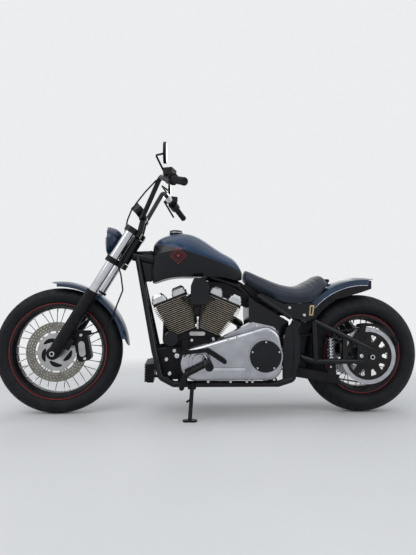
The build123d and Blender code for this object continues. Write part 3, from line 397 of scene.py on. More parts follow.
ALLOY = metal("machined_alloy", (0.34, 0.34, 0.34), (0.48, 0.48, 0.48), 0.28, 0.16, 1300.0, 0.00005)
# Copper-tinted metal for the tail's bracket: its colour is a painted reflection
COPPER_REFLECTION = metal("copper_painted_reflection", (0.34, 0.27, 0.16), (0.46, 0.37, 0.23), 0.30, 0.14)
STEEL = metal("stainless_steel", (0.44, 0.45, 0.47), (0.60, 0.61, 0.63), 0.20, 0.16)
FRONT_STEEL = turned("front_disc_steel", FRONT, (0.16, 0.155, 0.135), (0.25, 0.24, 0.21))
REAR_STEEL = turned("rear_disc_steel", REAR, (0.24, 0.24, 0.24), (0.36, 0.36, 0.36))
RIM_BLACK = ((0.005, 0.005, 0.006), (0.012, 0.012, 0.014))
SPOKE_BRIGHT = ((0.10, 0.105, 0.12), (0.20, 0.21, 0.23))
FRONT_SPOKED = bright_inside("front_wheel_finish", FRONT, 0.216, SPOKE_BRIGHT, RIM_BLACK)
REAR_SPOKED = bright_inside("rear_wheel_finish", REAR, 0.178, SPOKE_BRIGHT, RIM_BLACK)
PULLEY = ringed("pulley_finish", REAR, 0.1272, ((0.006, 0.006, 0.006), (0.014, 0.013, 0.012)),
                ((0.34, 0.35, 0.37), (0.48, 0.49, 0.51)))
LEATHER = leather("seat_leather", (0.008, 0.012, 0.022), (0.016, 0.024, 0.042))
RED = paint("red_enamel", (0.22, 0.012, 0.012), (0.34, 0.022, 0.018), 0.24, 0.2, 0.2)
GLASS = glass("lamp_glass")
DIAL = coated("dial_face", (0.30, 0.31, 0.32), (0.36, 0.37, 0.38), 0.40, 900.0, 0.00002)
MIRROR = metal("silvered_glass", (0.70, 0.73, 0.77), (0.80, 0.83, 0.87), 0.02, 0.02)
BELT = rubber("drive_belt_rubber", (0.008, 0.008, 0.008), (0.016, 0.016, 0.016), 0.60, 1400.0)

# The CAD nodes that each finish covers
FINISHES = [
    (FRONT_SPOKED, ["front_wheel_rim"]),
    (REAR_SPOKED, ["rear_wheel_rim"]),
    (CHROME, ["front_axle", "rear_axle", "fork_tubes", "cam_cover", "bar_clamps"]),
    (SATIN, ["fork_sliders", "lower_clamp", "clutch_control", "brake_control", "mirrors", "front_caliper",
             "belt_guards", "exhaust", "foot_peg_left", "foot_peg_right", "shifter", "brake_pedal",
             "rear_caliper", "side_stand", "guard_liner"]),
    (BLACK, ["upper_clamp", "handlebar", "risers", "gauge", "frame_backbone", "frame_cradle", "frame_tail",
             "swingarm", "fuel_cap", "oil_tank", "horn_cover", "oil_filter", "derby_cover", "air_cleaner"]),
    (BLUE, ["headlamp_shell", "front_guard", "rear_guard"]),
    (CAST, ["crankcase", "gearbox", "regulator", "front_mount"]),
    (TANK_SKY_AND_SHADE, ["tank"]),
    (FINS, ["cylinders"]),
    (STEEL, ["rocker_boxes"]),
    (POLISHED, ["primary_cover"]),
    (PULLEY, ["rear_pulley"]),
    (BELT, ["drive_belt"]),
    (GRIP, ["control_cables"]),
]


def finish_nodes():
    for finish, names in FINISHES:
        for name in names:
            slots = nodes[name].data.materials
            if not slots:
                slots.append(finish)
            for index in range(len(slots)):
                slots[index] = finish


finish_nodes()


# Making pieces

def facing(at, direction):
    """Puts local Z along a direction, at a point of the upright machine."""
    turn = Vector(direction).to_track_quat("Z", "Y").to_matrix().to_4x4()
    return Matrix.Translation(at) @ turn


def side_on(y, x=0.0, z=0.0):
    """Local X and Y become the machine's X and Z, seen from its left, at a place."""
    axes = Matrix(((1, 0, 0), (0, 0, -1), (0, 1, 0))).to_4x4()
    return Matrix.Translation((x, y, z)) @ axes


def finished(bm):
    mesh = bpy.data.meshes.new("mesh")
    bmesh.ops.recalc_face_normals(bm, faces=bm.faces)
    bm.to_mesh(mesh)
    bm.free()
    return mesh


def joined(meshes):
    bm = bmesh.new()
    for mesh in meshes:
        bm.from_mesh(mesh)
    return finished(bm)


def piece(name, mesh, finish, body, replaced=(), sharp=38.0):
    """A mesh, or a list of them, drawn upright in millimetres becomes a piece of the leaning machine."""
    if isinstance(mesh, list):
        mesh = joined(mesh)
    mesh.name = name
    mesh.transform(UPRIGHT)
    mesh.materials.clear()
    mesh.materials.append(finish)
    mesh.polygons.foreach_set("use_smooth", [True] * len(mesh.polygons))
    mesh.set_sharp_from_angle(angle=radians(sharp))
    obj = bpy.data.objects.new(name, mesh)
    scene.collection.objects.link(obj)
    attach(obj, body)
    if replaced:
        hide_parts(*replaced)
    return obj


def polar(radius, angle, at=(0.0, 0.0)):
    return (at[0] + radius * cos(angle), at[1] + radius * sin(angle))


def circle(radius, at=(0.0, 0.0), steps=48):
    return [polar(radius, tau * k / steps, at) for k in range(steps)]


def grid(bm, rows, closed_rows=True, closed_columns=True):
    """Skins rows of points; returns the rows of vertices."""
    made = [[bm.verts.new(p) for p in row] for row in rows]
    last_row = len(made) if closed_rows else len(made) - 1
    width = len(made[0])
    last_column = width if closed_columns else width - 1
    for i in range(last_row):
        here, there = made[i], made[(i + 1) % len(made)]
        for j in range(last_column):
            k = (j + 1) % width
            bm.faces.new((here[j], here[k], there[k], there[j]))
    return made


def skinned(rows):
    """Closed rows of points, skinned round into a closed ring."""
    bm = bmesh.new()
    grid(bm, rows)
    return finished(bm)


def lofted(rows):
    """Closed rows of points, skinned and capped at both ends."""
    bm = bmesh.new()
    made = grid(bm, rows, closed_rows=False)
    bm.faces.new(made[0])
    bm.faces.new(made[-1])
    return finished(bm)


def revolved(profile, place, steps):
    """Rows of (radius, height) points turned round local Z at a place."""
    rows = []
    for i in range(steps):
        a = tau * i / steps
        rows.append([place @ Vector((*polar(r, a), h)) for r, h in profile])
    return rows


def turn_about(bm, profile, place, steps):
    """Revolves an open outline and caps its ends."""
    made = grid(bm, revolved(profile, place, steps), closed_columns=False)
    for end in (0, -1):
        bm.faces.new([row[end] for row in made])


def turned_mesh(profile, place, steps):
    bm = bmesh.new()
    turn_about(bm, profile, place, steps)
    return finished(bm)


def ring_mesh(outline, place, steps):
    """Revolves a closed outline."""
    return skinned(revolved(outline, place, steps))


def cap_bolts(name, places, radius, height, body):
    """Socket-head bolts: a bevelled cap with a round recess."""
    bm = bmesh.new()
    wall = 0.55 * radius
    profile = [(radius, 0.0), (radius, height * 0.75), (radius * 0.86, height), (wall, height),
               (wall, height * 0.4)]
    for place in places:
        turn_about(bm, profile, place, 18)
    piece(name, finished(bm), CHROME, body)


def from_curve(data):
    holder = bpy.data.objects.new("curve", data)
    scene.collection.objects.link(holder)
    bpy.context.view_layer.update()
    depsgraph = bpy.context.evaluated_depsgraph_get()
    mesh = bpy.data.meshes.new_from_object(holder.evaluated_get(depsgraph))
    bpy.data.objects.remove(holder)
    return mesh


def curve_mesh(points, radius):
    """A round line that runs smoothly near the points, as a mesh."""
    data = bpy.data.curves.new("line", "CURVE")
    data.dimensions = "3D"
    data.bevel_depth = radius
    data.bevel_resolution = 3
    data.use_fill_caps = True
    data.resolution_u = 8
    line = data.splines.new("NURBS")
    line.points.add(len(points) - 1)
    for target, point in zip(line.points, points):
        target.co = (*point, 1.0)
    line.order_u = 3
    line.use_endpoint_u = True
    return from_curve(data)


def skin(name, x, z, side=-1):
    """The upright Y of a CAD node's surface at an X and Z, seen from one side."""
    start = UPRIGHT @ Vector((x, side * 700.0, z))
    found, place, _, _ = nodes[name].ray_cast(start, TURN @ Vector((0.0, -side, 0.0)))
    if not found:
        raise ValueError(f"{name} has no surface at {x}, {z}")
    return (UPRIGHT.inverted() @ place).y


def on_skin(name, points, side=-1):
    return [facing((x, skin(name, x, z, side), z), (0, side, 0)) for x, z in points]


def plate_mesh(outlines, thickness, place, bevel=0.6):
    """A flat plate with holes: the first outline is its edge and the rest are holes."""
    data = bpy.data.curves.new("plate", "CURVE")
    data.dimensions = "2D"
    data.fill_mode = "BOTH"
    data.extrude = thickness / 2 - bevel
    data.bevel_depth = bevel
    data.bevel_resolution = 1
    for outline in outlines:
        line = data.splines.new("POLY")
        line.points.add(len(outline) - 1)
        for target, (x, y) in zip(line.points, outline):
            target.co = (x, y, 0.0, 1.0)
        line.use_cyclic_u = True
    mesh = from_curve(data)
    mesh.transform(place)
    return mesh


# Tyres and wheels

TREAD_DEPTH = 4
BEAD_LIP = 13.3
FLANGE = 4.3
# Where each pitch of the tread is cut, as shares of it, and the side of the tyre that a cut's sipe is on
CUTS = [0, 0.02, 0.11, 0.13, 0.30, 0.48, 0.50, 0.52, 0.61, 0.63, 0.80, 0.90]
SIPE_SIDES = {1: -1, 2: -1, 7: 1, 8: 1}
# A fine line round each sidewall: where it lies, as shares of the wall, and its depth
WALL_LINE = (0.30, 0.36)
WALL_LINE_DEPTH = 0.8


def arc_through(a, middle, b, count):
    """Points of the circle through three (radius, y) points."""
    ax, ay = a
    bx, by = middle
    cx, cy = b
    d = 2 * (ax * (by - cy) + bx * (cy - ay) + cx * (ay - by))
    aa, bb, cc = ax * ax + ay * ay, bx * bx + by * by, cx * cx + cy * cy
    ux = (aa * (by - cy) + bb * (cy - ay) + cc * (ay - by)) / d
    uy = (aa * (cx - bx) + bb * (ax - cx) + cc * (bx - ax)) / d
    r = hypot(ax - ux, ay - uy)
    start, mid, stop = (atan2(p[1] - uy, p[0] - ux) for p in (a, middle, b))
    while mid < start:
        mid += tau
    while stop < start:
        stop += tau
    if mid > stop:
        stop -= tau
    angles = [start + (stop - start) * k / (count - 1) for k in range(count)]
    return [(ux + r * cos(t), uy + r * sin(t)) for t in angles]


def tyre_profile(wheel):
    """Radius, Y and part of each point round a tyre's section."""
    half, radius, bead = wheel["half"], wheel["radius"], wheel["bead"]
    lip = wheel["rim_half"] - FLANGE
    edge = bead + BEAD_LIP
    shoulder = radius - wheel["drop"]
    bulge = half - 0.15 * (half - lip)
    side = arc_through((edge, -lip), ((edge + shoulder) / 2, -bulge), (shoulder, -half), 13)
    crown = arc_through((shoulder, -half), (radius, 0), (shoulder, half), 45)
    profile = [(r, y, "side") for r, y in side[:-1]] + [(r, y, "tread") for r, y in crown]
    profile += [(r, -y, "side") for r, y in reversed(side[:-1])]
    return profile + [(bead + 0.3, lip, "bead"), (bead + 0.3, -lip, "bead")]


def cut_depth(wheel, index, r, y, part, sipe, grooves):
    """How deep the tread or the wall is cut at a point of the section, in one row of a pitch."""
    share = abs(y) / wheel["half"]
    if part == "tread":
        on_side = SIPE_SIDES.get(index) == (1 if y > 0 else -1)
        in_groove = any(low < share < high for low, high in grooves)
        return TREAD_DEPTH if in_groove or (on_side and sipe[0] < share < sipe[1]) else 0
    edge = wheel["bead"] + BEAD_LIP
    up_wall = (r - edge) / (wheel["radius"] - wheel["drop"] - edge)
    return WALL_LINE_DEPTH if part == "side" and WALL_LINE[0] < up_wall < WALL_LINE[1] else 0


def tyre(wheel, pitches, skew, sipe, grooves):
    """A tyre of its CAD outline with skewed sipes on each shoulder and grooves round it."""
    axle = Matrix.Translation((wheel["x"], 0, wheel["z"])) @ Matrix.Rotation(-pi / 2, 4, "X")
    profile = tyre_profile(wheel)
    rows = []
    for pitch in range(pitches):
        for index, cut in enumerate(CUTS):
            row = []
            for r, y, part in profile:
                angle = tau * (pitch + cut) / pitches
                if part != "bead":
                    angle += skew * min(1, abs(y) / wheel["half"])
                depth = cut_depth(wheel, index, r, y, part, sipe, grooves)
                row.append(axle @ Vector((*polar(r - depth, angle), y)))
            rows.append(row)
    end = wheel["name"]
    piece(f"{end}_tyre_treaded", skinned(rows), TYRE, f"{end}_wheel", [f"{end}_tyre"], 30)


tyre(FRONT, 36, 0.16, (0.16, 0.93), [(0, 0.05)])
tyre(REAR, 34, 0.24, (0.26, 0.95), [(0.10, 0.15)])


SPOKES_A_SIDE = 16
SPOKE_SWEEP = 70
VALVE_ANGLE = 205
NIPPLE = [(4.2, 0), (4.2, 9), (3.2, 10.5), (3.2, 19), (2.6, 20)]
VALVE = [(5, 0), (5, 3), (3.4, 4), (3.4, 24), (4.4, 24.5), (4.4, 33), (3.6, 35)]
# The pinstripe's section, measured from the bead and from the rim's side
PINSTRIPE = [(8.4, -0.2), (11.4, -0.2), (11.4, 0.25), (8.4, 0.25)]


def wheel_point(wheel, radius, angle, y=0):
    x, z = polar(radius, radians(angle), (wheel["x"], wheel["z"]))
    return Vector((x, y, z))


def wheel_trim(wheel):
    """Spoke nipples, a red pinstripe on each flange and a valve."""
    body = f"{wheel['name']}_wheel"
    seat_radius = wheel["rim_inner"] + 1
    bm = bmesh.new()
    for side in (-1, 1):
        for k in range(SPOKES_A_SIDE):
            lead = SPOKE_SWEEP if k % 2 else -SPOKE_SWEEP
            angle = (k + 0.25 * side) * 360 / SPOKES_A_SIDE
            hub_y = side * (wheel["flange_y"] - 3)
            root = wheel_point(wheel, wheel["flange_radius"] - 5, angle - lead, hub_y)
            tip = wheel_point(wheel, seat_radius, angle, side * 5)
            turn_about(bm, NIPPLE, facing(tip, root - tip), 10)
    piece(f"{body}_nipples", finished(bm), CHROME, body)
    stripes = []
    for side in (-1, 1):
        rim_side = Matrix.Translation((wheel["x"], side * wheel["rim_half"], wheel["z"]))
        outline = [(wheel["bead"] + r, h) for r, h in PINSTRIPE]
        stripes.append(ring_mesh(outline, rim_side @ Matrix.Rotation(-pi / 2 * side, 4, "X"), 144))
    piece(f"{body}_pinstripes", stripes, RED, body)
    foot = wheel_point(wheel, seat_radius, VALVE_ANGLE)
    inwards = wheel_point(wheel, 0, 0) - foot
    piece(f"{body}_valve", turned_mesh(VALVE, facing(foot, inwards), 16), CHROME, body)


wheel_trim(FRONT)
wheel_trim(REAR)


# Radii of the two brake discs, of the front band's inside, of their bores and of the small holes
FRONT_DISC = 154
FRONT_BAND = 108
REAR_DISC = 146
DISC_BORE = 13
DISC_HOLE = 2.7
FRONT_DISC_Y = -61.8
REAR_DISC_Y = 91.8
# The rear disc's windows: radius of their middle, half width and sweep in degrees
WINDOW = (80, 15, 46)
# The front carrier's slots: radius of their start, how far they wind out and round, and half width
SWIRL = (58, 17, 58, 12)
# Degrees from one window or slot to the next
FIFTH = 72


def arc_slot(radius, half, sweep, start, steps=14, ends=8):
    """Outline of a slot bent round the origin, with round ends."""
    a, b = radians(start), radians(start + sweep)
    along = [a + (b - a) * k / steps for k in range(steps + 1)]
    points = [polar(radius + half, t) for t in along]
    points += [polar(half, b + pi * k / ends, polar(radius, b)) for k in range(1, ends)]
    points += [polar(radius - half, t) for t in reversed(along)]
    points += [polar(half, a + pi + pi * k / ends, polar(radius, a)) for k in range(1, ends)]
    return points


def drilled(radius, count, rows, first, step):
    """Slanting rows of small holes in a brake disc's band; the first lies this far inside its rim."""
    holes = []
    for k in range(count):
        for row in range(rows):
            middle = polar(radius - first + row * step, tau * (k + row * 0.33) / count)
            holes.append(circle(DISC_HOLE, middle, 10))
    return holes


def rear_disc():
    """A brake disc with five curved windows and a drilled band."""
    outlines = [circle(REAR_DISC, steps=120), circle(DISC_BORE)]
    outlines += [arc_slot(*WINDOW, FIFTH * k) for k in range(5)]
    outlines += drilled(REAR_DISC, count=45, rows=3, first=32, step=12)
    place = side_on(REAR_DISC_Y, REAR["x"], REAR["z"])
    piece("rear_disc_drilled", plate_mesh(outlines, 5, place, 0.4), REAR_STEEL, "rear_wheel",
          ["rear_brake_disc"], 30)


def swirl_slot(start):
    """A slot that winds outwards from the hub, as a pointed oval bent round the axle."""
    outer, inner = [], []
    first, outwards, sweep, widest = SWIRL
    for k in range(13):
        share = k / 12
        a = radians(start + sweep * share)
        middle = first + outwards * share
        half = widest * sin(pi * min(0.97, max(0.03, share))) ** 0.5
        outer.append(polar(middle + half, a))
        inner.append(polar(middle - half, a))
    return outer + inner[::-1]


def front_disc():
    """A drilled band, held by short arms to a pale carrier with five swirling slots."""
    place = side_on(FRONT_DISC_Y, FRONT["x"], FRONT["z"])
    band = [circle(FRONT_DISC, steps=120), circle(FRONT_BAND, steps=96)]
    band += drilled(FRONT_DISC, count=48, rows=3, first=37, step=13)
    piece("front_disc_drilled", [plate_mesh(band, 5, place, 0.4)], FRONT_STEEL, "front_wheel",
          ["front_brake_disc"], 30)
    slots = [swirl_slot(FIFTH * k + 20) for k in range(5)]
    meshes = [plate_mesh([circle(97, steps=96), circle(DISC_BORE)] + slots, 4, place, 0.4)]
    arm = [polar(94, 0), polar(94, 0.16), polar(111, 0.13), polar(111, 0.03)]
    for k in range(10):
        meshes.append(plate_mesh([arm], 3.6, place @ Matrix.Rotation(tau * k / 10, 4, "Z"), 0.3))
    piece("front_disc_carrier", meshes, ALLOY, "front_wheel", sharp=30)
    back = side_on(FRONT_DISC_Y + 1.6, FRONT["x"], FRONT["z"])
    meshes = [plate_mesh([slot], 1.6, back, 0.2) for slot in slots]
    piece("front_disc_slot_backs", meshes, SATIN, "front_wheel", sharp=30)


rear_disc()
front_disc()


# Seat

# X, height of the base, height of the top, and half width
SEAT_ROWS = [
    (983, 722, 738, 34),
    (988, 710, 764, 50),
    (1004, 698, 770, 62),
    (1080, 650, 738, 96),
    (1180, 604, 700, 132),
    (1270, 600, 690, 150),
    (1345, 612, 722, 148),
    (1400, 660, 750, 118),
    (1434, 690, 724, 84),
]
# The cover stays outside this radius round the rear axle, clear of the guard
GUARD_CLEAR = 422.5
SEAT_HALF_SHARE = 0.985
# X of the cross channels in the middle; each runs further back towards the sides
CHANNELS = (1306, 1334, 1362)
CHANNEL_BEND = 14
CHANNEL_HALF = 5
CHANNEL_DEPTH = 5
# The welt along each side, as a share of the half width
WELT_AT = 0.86
WELT_HALF = 0.03
WELT_DEPTH = 3.5


def smooth_rows(table, count):
    """Rows between a table's rows, by a Catmull-Rom curve through each column."""
    made = []
    for k in range(count + 1):
        t = k / count * (len(table) - 1)
        i = min(int(t), len(table) - 2)
        f = t - i
        rows = [table[max(i - 1, 0)], table[i], table[i + 1], table[min(i + 2, len(table) - 1)]]
        row = []
        for a, b, c, d in zip(*rows):
            row.append(0.5 * (2 * b + (c - a) * f + (2 * a - 5 * b + 4 * c - d) * f ** 2
                              + (3 * b - a - 3 * c + d) * f ** 3))
        made.append(row)
    return made


def seat_top(row, s):
    """A point over the seat at a share s of its half width, with a rolled edge."""
    x, base, top, half = row
    rolled = (1 - abs(s) ** 2.6) ** 0.5
    return Vector((x, s * half * SEAT_HALF_SHARE, base + (top - base) * (0.30 + 0.70 * rolled)))


def channel_depth(x, s):
    depth = 0
    for at in CHANNELS:
        off = min(1, abs(x - at - CHANNEL_BEND * s * s) / CHANNEL_HALF)
        depth = max(depth, CHANNEL_DEPTH * (1 - off) ** 0.6)
    return max(depth, WELT_DEPTH * (1 - min(1, abs(abs(s) - WELT_AT) / WELT_HALF)))


def seat():
    """A padded cover with sewn channels, its rear edge lifted over the guard."""
    rows = []
    across = 60
    for row in smooth_rows(SEAT_ROWS, 150):
        x, base, top, half = row
        points = []
        for j in range(across + 1):
            s = sin((-1 + 2 * j / across) * pi / 2)
            p = seat_top(row, s)
            p.z -= channel_depth(x, s)
            points.append(p)
        under = (half - 12) * SEAT_HALF_SHARE
        points += [Vector((x, under, base)), Vector((x, 0, base + 1)), Vector((x, -under, base))]
        for p in points:
            away = Vector((p.x - REAR["x"], p.z - REAR["z"]))
            if away.length < GUARD_CLEAR:
                away *= GUARD_CLEAR / away.length
                p.z = max(p.z, REAR["z"] + away.y)
        rows.append(points)
    cover = piece("seat_cover", lofted(rows), LEATHER, "frame", ["seat"], 60)


seat()


# Grips, lamp and springs

BAR_END = Vector((647, 420, 1142))
BAR_CORNER = Vector((525, 150, 1243))
GRIP_LENGTH = 128
GRIP_RIBS = 16


def bar_point(back, side):
    p = BAR_END + (BAR_CORNER - BAR_END).normalized() * back
    return Vector((p.x, side * p.y, p.z))


def grips():
    bm = bmesh.new()
    for side in (-1, 1):
        end = bar_point(-4, side)
        start = bar_point(GRIP_LENGTH, side)
        long = (end - start).length
        profile = [(13, 0), (18.8, 0.4), (18.8, 7), (17.2, 9)]
        for k in range(GRIP_RIBS):
            at = 12 + k * (long - 30) / GRIP_RIBS
            profile += [(16.6, at), (18.2, at + 0.8), (18.2, at + 4.2), (16.6, at + 5)]
        profile += [(17, long - 14), (18.9, long - 10), (18.9, long - 3), (15, long)]
        turn_about(bm, profile, facing(start, end - start), 40)
    piece("ribbed_grips", finished(bm), GRIP, "fork", ["grips"], 32)


grips()


LAMP = (242, 0, 923)
LENS_RADIUS = 67.4
LENS_EDGE = -1.5
LENS_RISE = 18.5
LENS_STEPS = 12
REFLECTOR = [(67, -6), (60, -7.6), (46, -9.4), (30, -10.6), (24, -10.8), (24, -11.6), (67, -11.6)]


def headlamp():
    """A domed lens over a stepped reflector, in a bright bezel."""
    forward = facing(LAMP, (-1, 0, 0))
    lens = [(LENS_RADIUS, -5), (LENS_RADIUS, LENS_EDGE)]
    for k in range(1, LENS_STEPS):
        t = k / LENS_STEPS * pi / 2
        lens.append((LENS_RADIUS * cos(t), LENS_EDGE + LENS_RISE * sin(t)))
    lens.append((0.6, LENS_EDGE + LENS_RISE))
    glazing = turned_mesh(lens, forward, 64)
    piece("headlamp_glass", glazing, GLASS, "fork", ["headlamp_lens"], 30)
    piece("headlamp_reflector", turned_mesh(REFLECTOR, forward, 64), CHROME, "fork")
    bezel = circle(4.6, (72.8, 1), 12)
    piece("headlamp_bezel", ring_mesh(bezel, forward, 96), CHROME, "fork")


headlamp()


SPRING_X = 1443
SPRING_Y = 104
SPRING_FROM = 299.5
SPRING_TO = 415
SPRING_TURNS = 7
TURN_STEPS = 12
COIL_RADIUS = 16.4
WIRE_RADIUS = 3.4
DAMPER_FOOT = 296


def coil_springs():
    """A coil round a damper on each side, with a cup at both ends."""
    meshes = []
    count = SPRING_TURNS * TURN_STEPS
    for y in (-SPRING_Y, SPRING_Y):
        points = []
        for k in range(count + 1):
            height = SPRING_FROM + (SPRING_TO - SPRING_FROM) * k / count
            points.append((*polar(COIL_RADIUS, tau * k / TURN_STEPS, (SPRING_X, y)), height))
        foot = facing((SPRING_X, y, DAMPER_FOOT), UP)
        bm = bmesh.new()
        turn_about(bm, [(9, 0), (9, 70), (6, 72), (6, 121)], foot, 20)
        turn_about(bm, [(20, 0), (20, 3), (12, 3.5)], foot, 28)
        turn_about(bm, [(12, 0), (20, 0.5), (20, 3)], facing((SPRING_X, y, SPRING_TO), UP), 28)
        meshes += [curve_mesh(points, WIRE_RADIUS), finished(bm)]
    piece("coil_springs", meshes, CHROME, "frame", ["springs"])


coil_springs()


# Bolts, trim and marks

# Name, body, CAD node they sit on, head radius, head height, X and Z of each on the left side
SOCKET_BOLTS = [
    ("derby_screws", "frame", "derby_cover", 4.6, 2.8,
     [polar(71, radians(90) + tau * k / 5, DERBY) for k in range(5)]),
    ("inner_primary_bolts", "frame", "primary_cover", 7, 5,
     [(1035, 480), (1128, 462), (925, 426), (880, 410)]),
    ("crankcase_bolts", "frame", "crankcase", 8, 6, [(700, 398), (812, 408)]),
    ("tail_bolts", "frame", "frame_tail", 8, 5, [(1213, 574), (1292, 536)]),
    ("mount_bolts", "frame", "front_mount", 10, 6, [(588, 228), (570, 300), (610, 345)]),
    ("caliper_bolts", "fork", "front_caliper", 8, 5, [(127, 420), (150, 300)]),
    ("guard_bolts", "frame", "belt_guards", 6, 4, [(1434, 265)]),
]
# Bolts along the lower edge of the primary cover, on its left face
PRIMARY_FACE_Y = -196
PRIMARY_EDGE = [(781, 206), (893, 206), (975, 206), (1003, 206), (1113, 216)]


def all_bolts():
    for name, body, node, radius, height, points in SOCKET_BOLTS:
        cap_bolts(name, on_skin(node, points), radius, height, body)
    edge = [facing((x, PRIMARY_FACE_Y, z), (0, -1, 0)) for x, z in PRIMARY_EDGE]
    cap_bolts("primary_edge_bolts", edge, 7, 8, "frame")


all_bolts()


# Name, body, CAD node, X and Z, how far its middle stands out, length, height, thickness and turn
PLATES = [
    ("crankcase_plate", "frame", "crankcase", (729, 430), 2.4, 83, 20, 5, 0),
    ("caliper_plate", "fork", "front_caliper", (136, 350), 1.4, 78, 32, 3, 98),
]


def pill(long, high, steps=10):
    """Outline of an oblong with round ends."""
    r, reach = high / 2, long / 2 - high / 2
    right = [polar(r, -pi / 2 + pi * k / steps, (reach, 0)) for k in range(steps + 1)]
    return right + [(-x, -z) for x, z in right]


def plates():
    """The pale oblong plates on the crankcase and the front caliper."""
    for name, body, node, (x, z), out, long, high, thick, turn in PLATES:
        place = side_on(skin(node, x, z) - out, x, z) @ Matrix.Rotation(radians(turn), 4, "Z")
        piece(name, plate_mesh([pill(long, high)], thick, place), ALLOY, body)


plates()


# Middle of the mark, radius and width of each diamond, and its section: share of the width, then lift
MARK = Vector((623, 837))
DIAMONDS = ((43, 3.4), (29, 2.6), (10, 9))
DIAMOND_SECTION = ((0, 0.6), (0, -0.8), (1, -0.8), (1, 0.6))


def tank_mark():
    """A generic mark of three diamonds laid on each flank of the tank."""
    meshes = []
    for side in (-1, 1):
        for radius, width in DIAMONDS:
            corners = [Vector(polar(radius, pi / 2 * (1 - k))) for k in range(4)]
            rows = []
            for k in range(4):
                for step in range(8):
                    away = corners[k].lerp(corners[(k + 1) % 4], step / 8)
                    row = []
                    for share, lift in DIAMOND_SECTION:
                        x, z = MARK + away * (1 - share * width / radius)
                        row.append(Vector((x, skin("tank", x, z, side) + side * lift, z)))
                    rows.append(row)
            meshes.append(skinned(rows))
    piece("tank_mark", meshes, RED, "frame", sharp=30)


tank_mark()


# A flanged nut's section, as shares of its radius
NUT = [(1, 0), (1, 0.32), (0.82, 0.48), (0.45, 0.48), (0.45, 0.2)]
NUTS = [("pivot_nut", "swingarm", 1196, 339, 18), ("shifter_nut", "shifter", 626, 349, 11),
        ("adjuster_nut", "swingarm", 1586, 327, 10)]


def nuts():
    for name, node, x, z, r in NUTS:
        place = on_skin(node, [(x, z)])[0]
        piece(name, turned_mesh([(a * r, h * r) for a, h in NUT], place, 32), CHROME, "frame")


nuts()


# Middle, radius and thickness of each ring on the primary cover, and how far behind its middle
# the cover's surface is found
RINGS = ((DERBY, 85, 2, 88), (BOSS, 56, 1.8, -57), (BOSS, 39, 1.8, -40))
RIB = (881, 269)
RIB_OUT = 0.8
CAP_RING = 36.6


def beads():
    """Bright rings round the cover's steps and the fuel cap, and its long bright rib."""
    meshes = []
    for (x, z), radius, thick, back in RINGS:
        y = skin("primary_cover", x + back, z + 4)
        meshes.append(ring_mesh(circle(thick, (radius, 0), 8), facing((x, y, z), (0, -1, 0)), 72))
    rib = side_on(skin("primary_cover", *RIB) - RIB_OUT, *RIB)
    meshes.append(plate_mesh([pill(163, 10)], 3, rib, 1.2))
    piece("primary_beads", meshes, CHROME, "frame")
    middle = UPRIGHT.inverted() @ centre_of("fuel_cap")
    ring = ring_mesh(circle(2.2, (CAP_RING, 0), 10), facing(middle, UP), 64)
    piece("fuel_cap_ring", ring, CHROME, "frame")


beads()


STUD_FOOT = (731, -70, 456)
STUD = [(6, 0), (6, 12), (4, 13), (4, 22), (7, 23), (7, 34), (4.5, 35), (4.5, 46), (7, 47), (7, 60), (5, 64)]
WIRING_COVER = [(472, 708), (505, 722), (505, 862), (472, 870)]
# A slotted bracket on the frame's tail, coloured copper as a painted reflection
BRACKET_AT = (1330, 561)
BRACKET = [[(1317, 534), (1338, 534), (1345, 588), (1322, 588)],
           [(1323, 541), (1333, 541), (1338, 581), (1327, 581)]]
KNOB_FOOT = (1460, 0, 704)
KNOB = [(9, 0), (9, 10), (15, 14), (15, 24), (11, 29)]


def small_parts():
    """A stud between the cylinders, a cover at the neck, a slotted bracket whose copper colour is a painted
    reflection, and the seat's knob.
    """
    piece("valley_stud", turned_mesh(STUD, facing(STUD_FOOT, UP), 20), CHROME, "frame")
    cover = plate_mesh([WIRING_COVER], 26, side_on(0), 4)
    piece("wiring_cover", cover, SATIN, "frame")
    # The bracket's copper colour is a painted reflection
    bracket = plate_mesh(BRACKET, 3.6, side_on(skin("frame_tail", *BRACKET_AT) - 1.8))
    piece("slotted_bracket_painted_reflection", bracket, COPPER_REFLECTION, "frame")
    piece("seat_knob", turned_mesh(KNOB, facing(KNOB_FOOT, UP), 28), SATIN, "frame")


small_parts()


# Half width of a sleeve at its foot and how much it grows to the top, and its half depth
SLEEVE_HALF = 52
SLEEVE_GROWS = 36
SLEEVE_DEPTH = 68
SLEEVE_LEANS = 8
SLEEVE_ROWS = 8
SLEEVE_SIDES = 40


def rounded(share, half):
    """One coordinate of an oblong with round corners."""
    return half * (1 if share > 0 else -1) * abs(share) ** 0.45


def cylinder_sleeves():
    """The black cylinder walls behind the fins' edges."""
    meshes = []
    for side in (-1, 1):
        a = side * V_HALF
        axis, across = Vector((sin(a), 0, cos(a))), Vector((cos(a), 0, -sin(a)))
        rows = []
        for k in range(SLEEVE_ROWS):
            share = k / (SLEEVE_ROWS - 1)
            half = SLEEVE_HALF + SLEEVE_GROWS * min(1, 1.25 * share)
            middle = Vector((CRANK[0], 0, CRANK[1])) + axis * (FIN_FROM + (FIN_TO - FIN_FROM) * share)
            middle += across * (side * SLEEVE_LEANS * share)
            row = []
            for j in range(SLEEVE_SIDES):
                wide, deep = polar(1, tau * j / SLEEVE_SIDES)
                out = Vector((0, rounded(deep, SLEEVE_DEPTH), 0))
                row.append(middle + across * rounded(wide, half) + out)
            rows.append(row)
        meshes.append(lofted(rows))
    piece("cylinder_sleeves", meshes, CAST, "frame")


cylinder_sleeves()


# A channel before the tyre: radii of its edge and its back, half its width, and its thickness
INNER_GUARD = (334, 392, 88, 2)
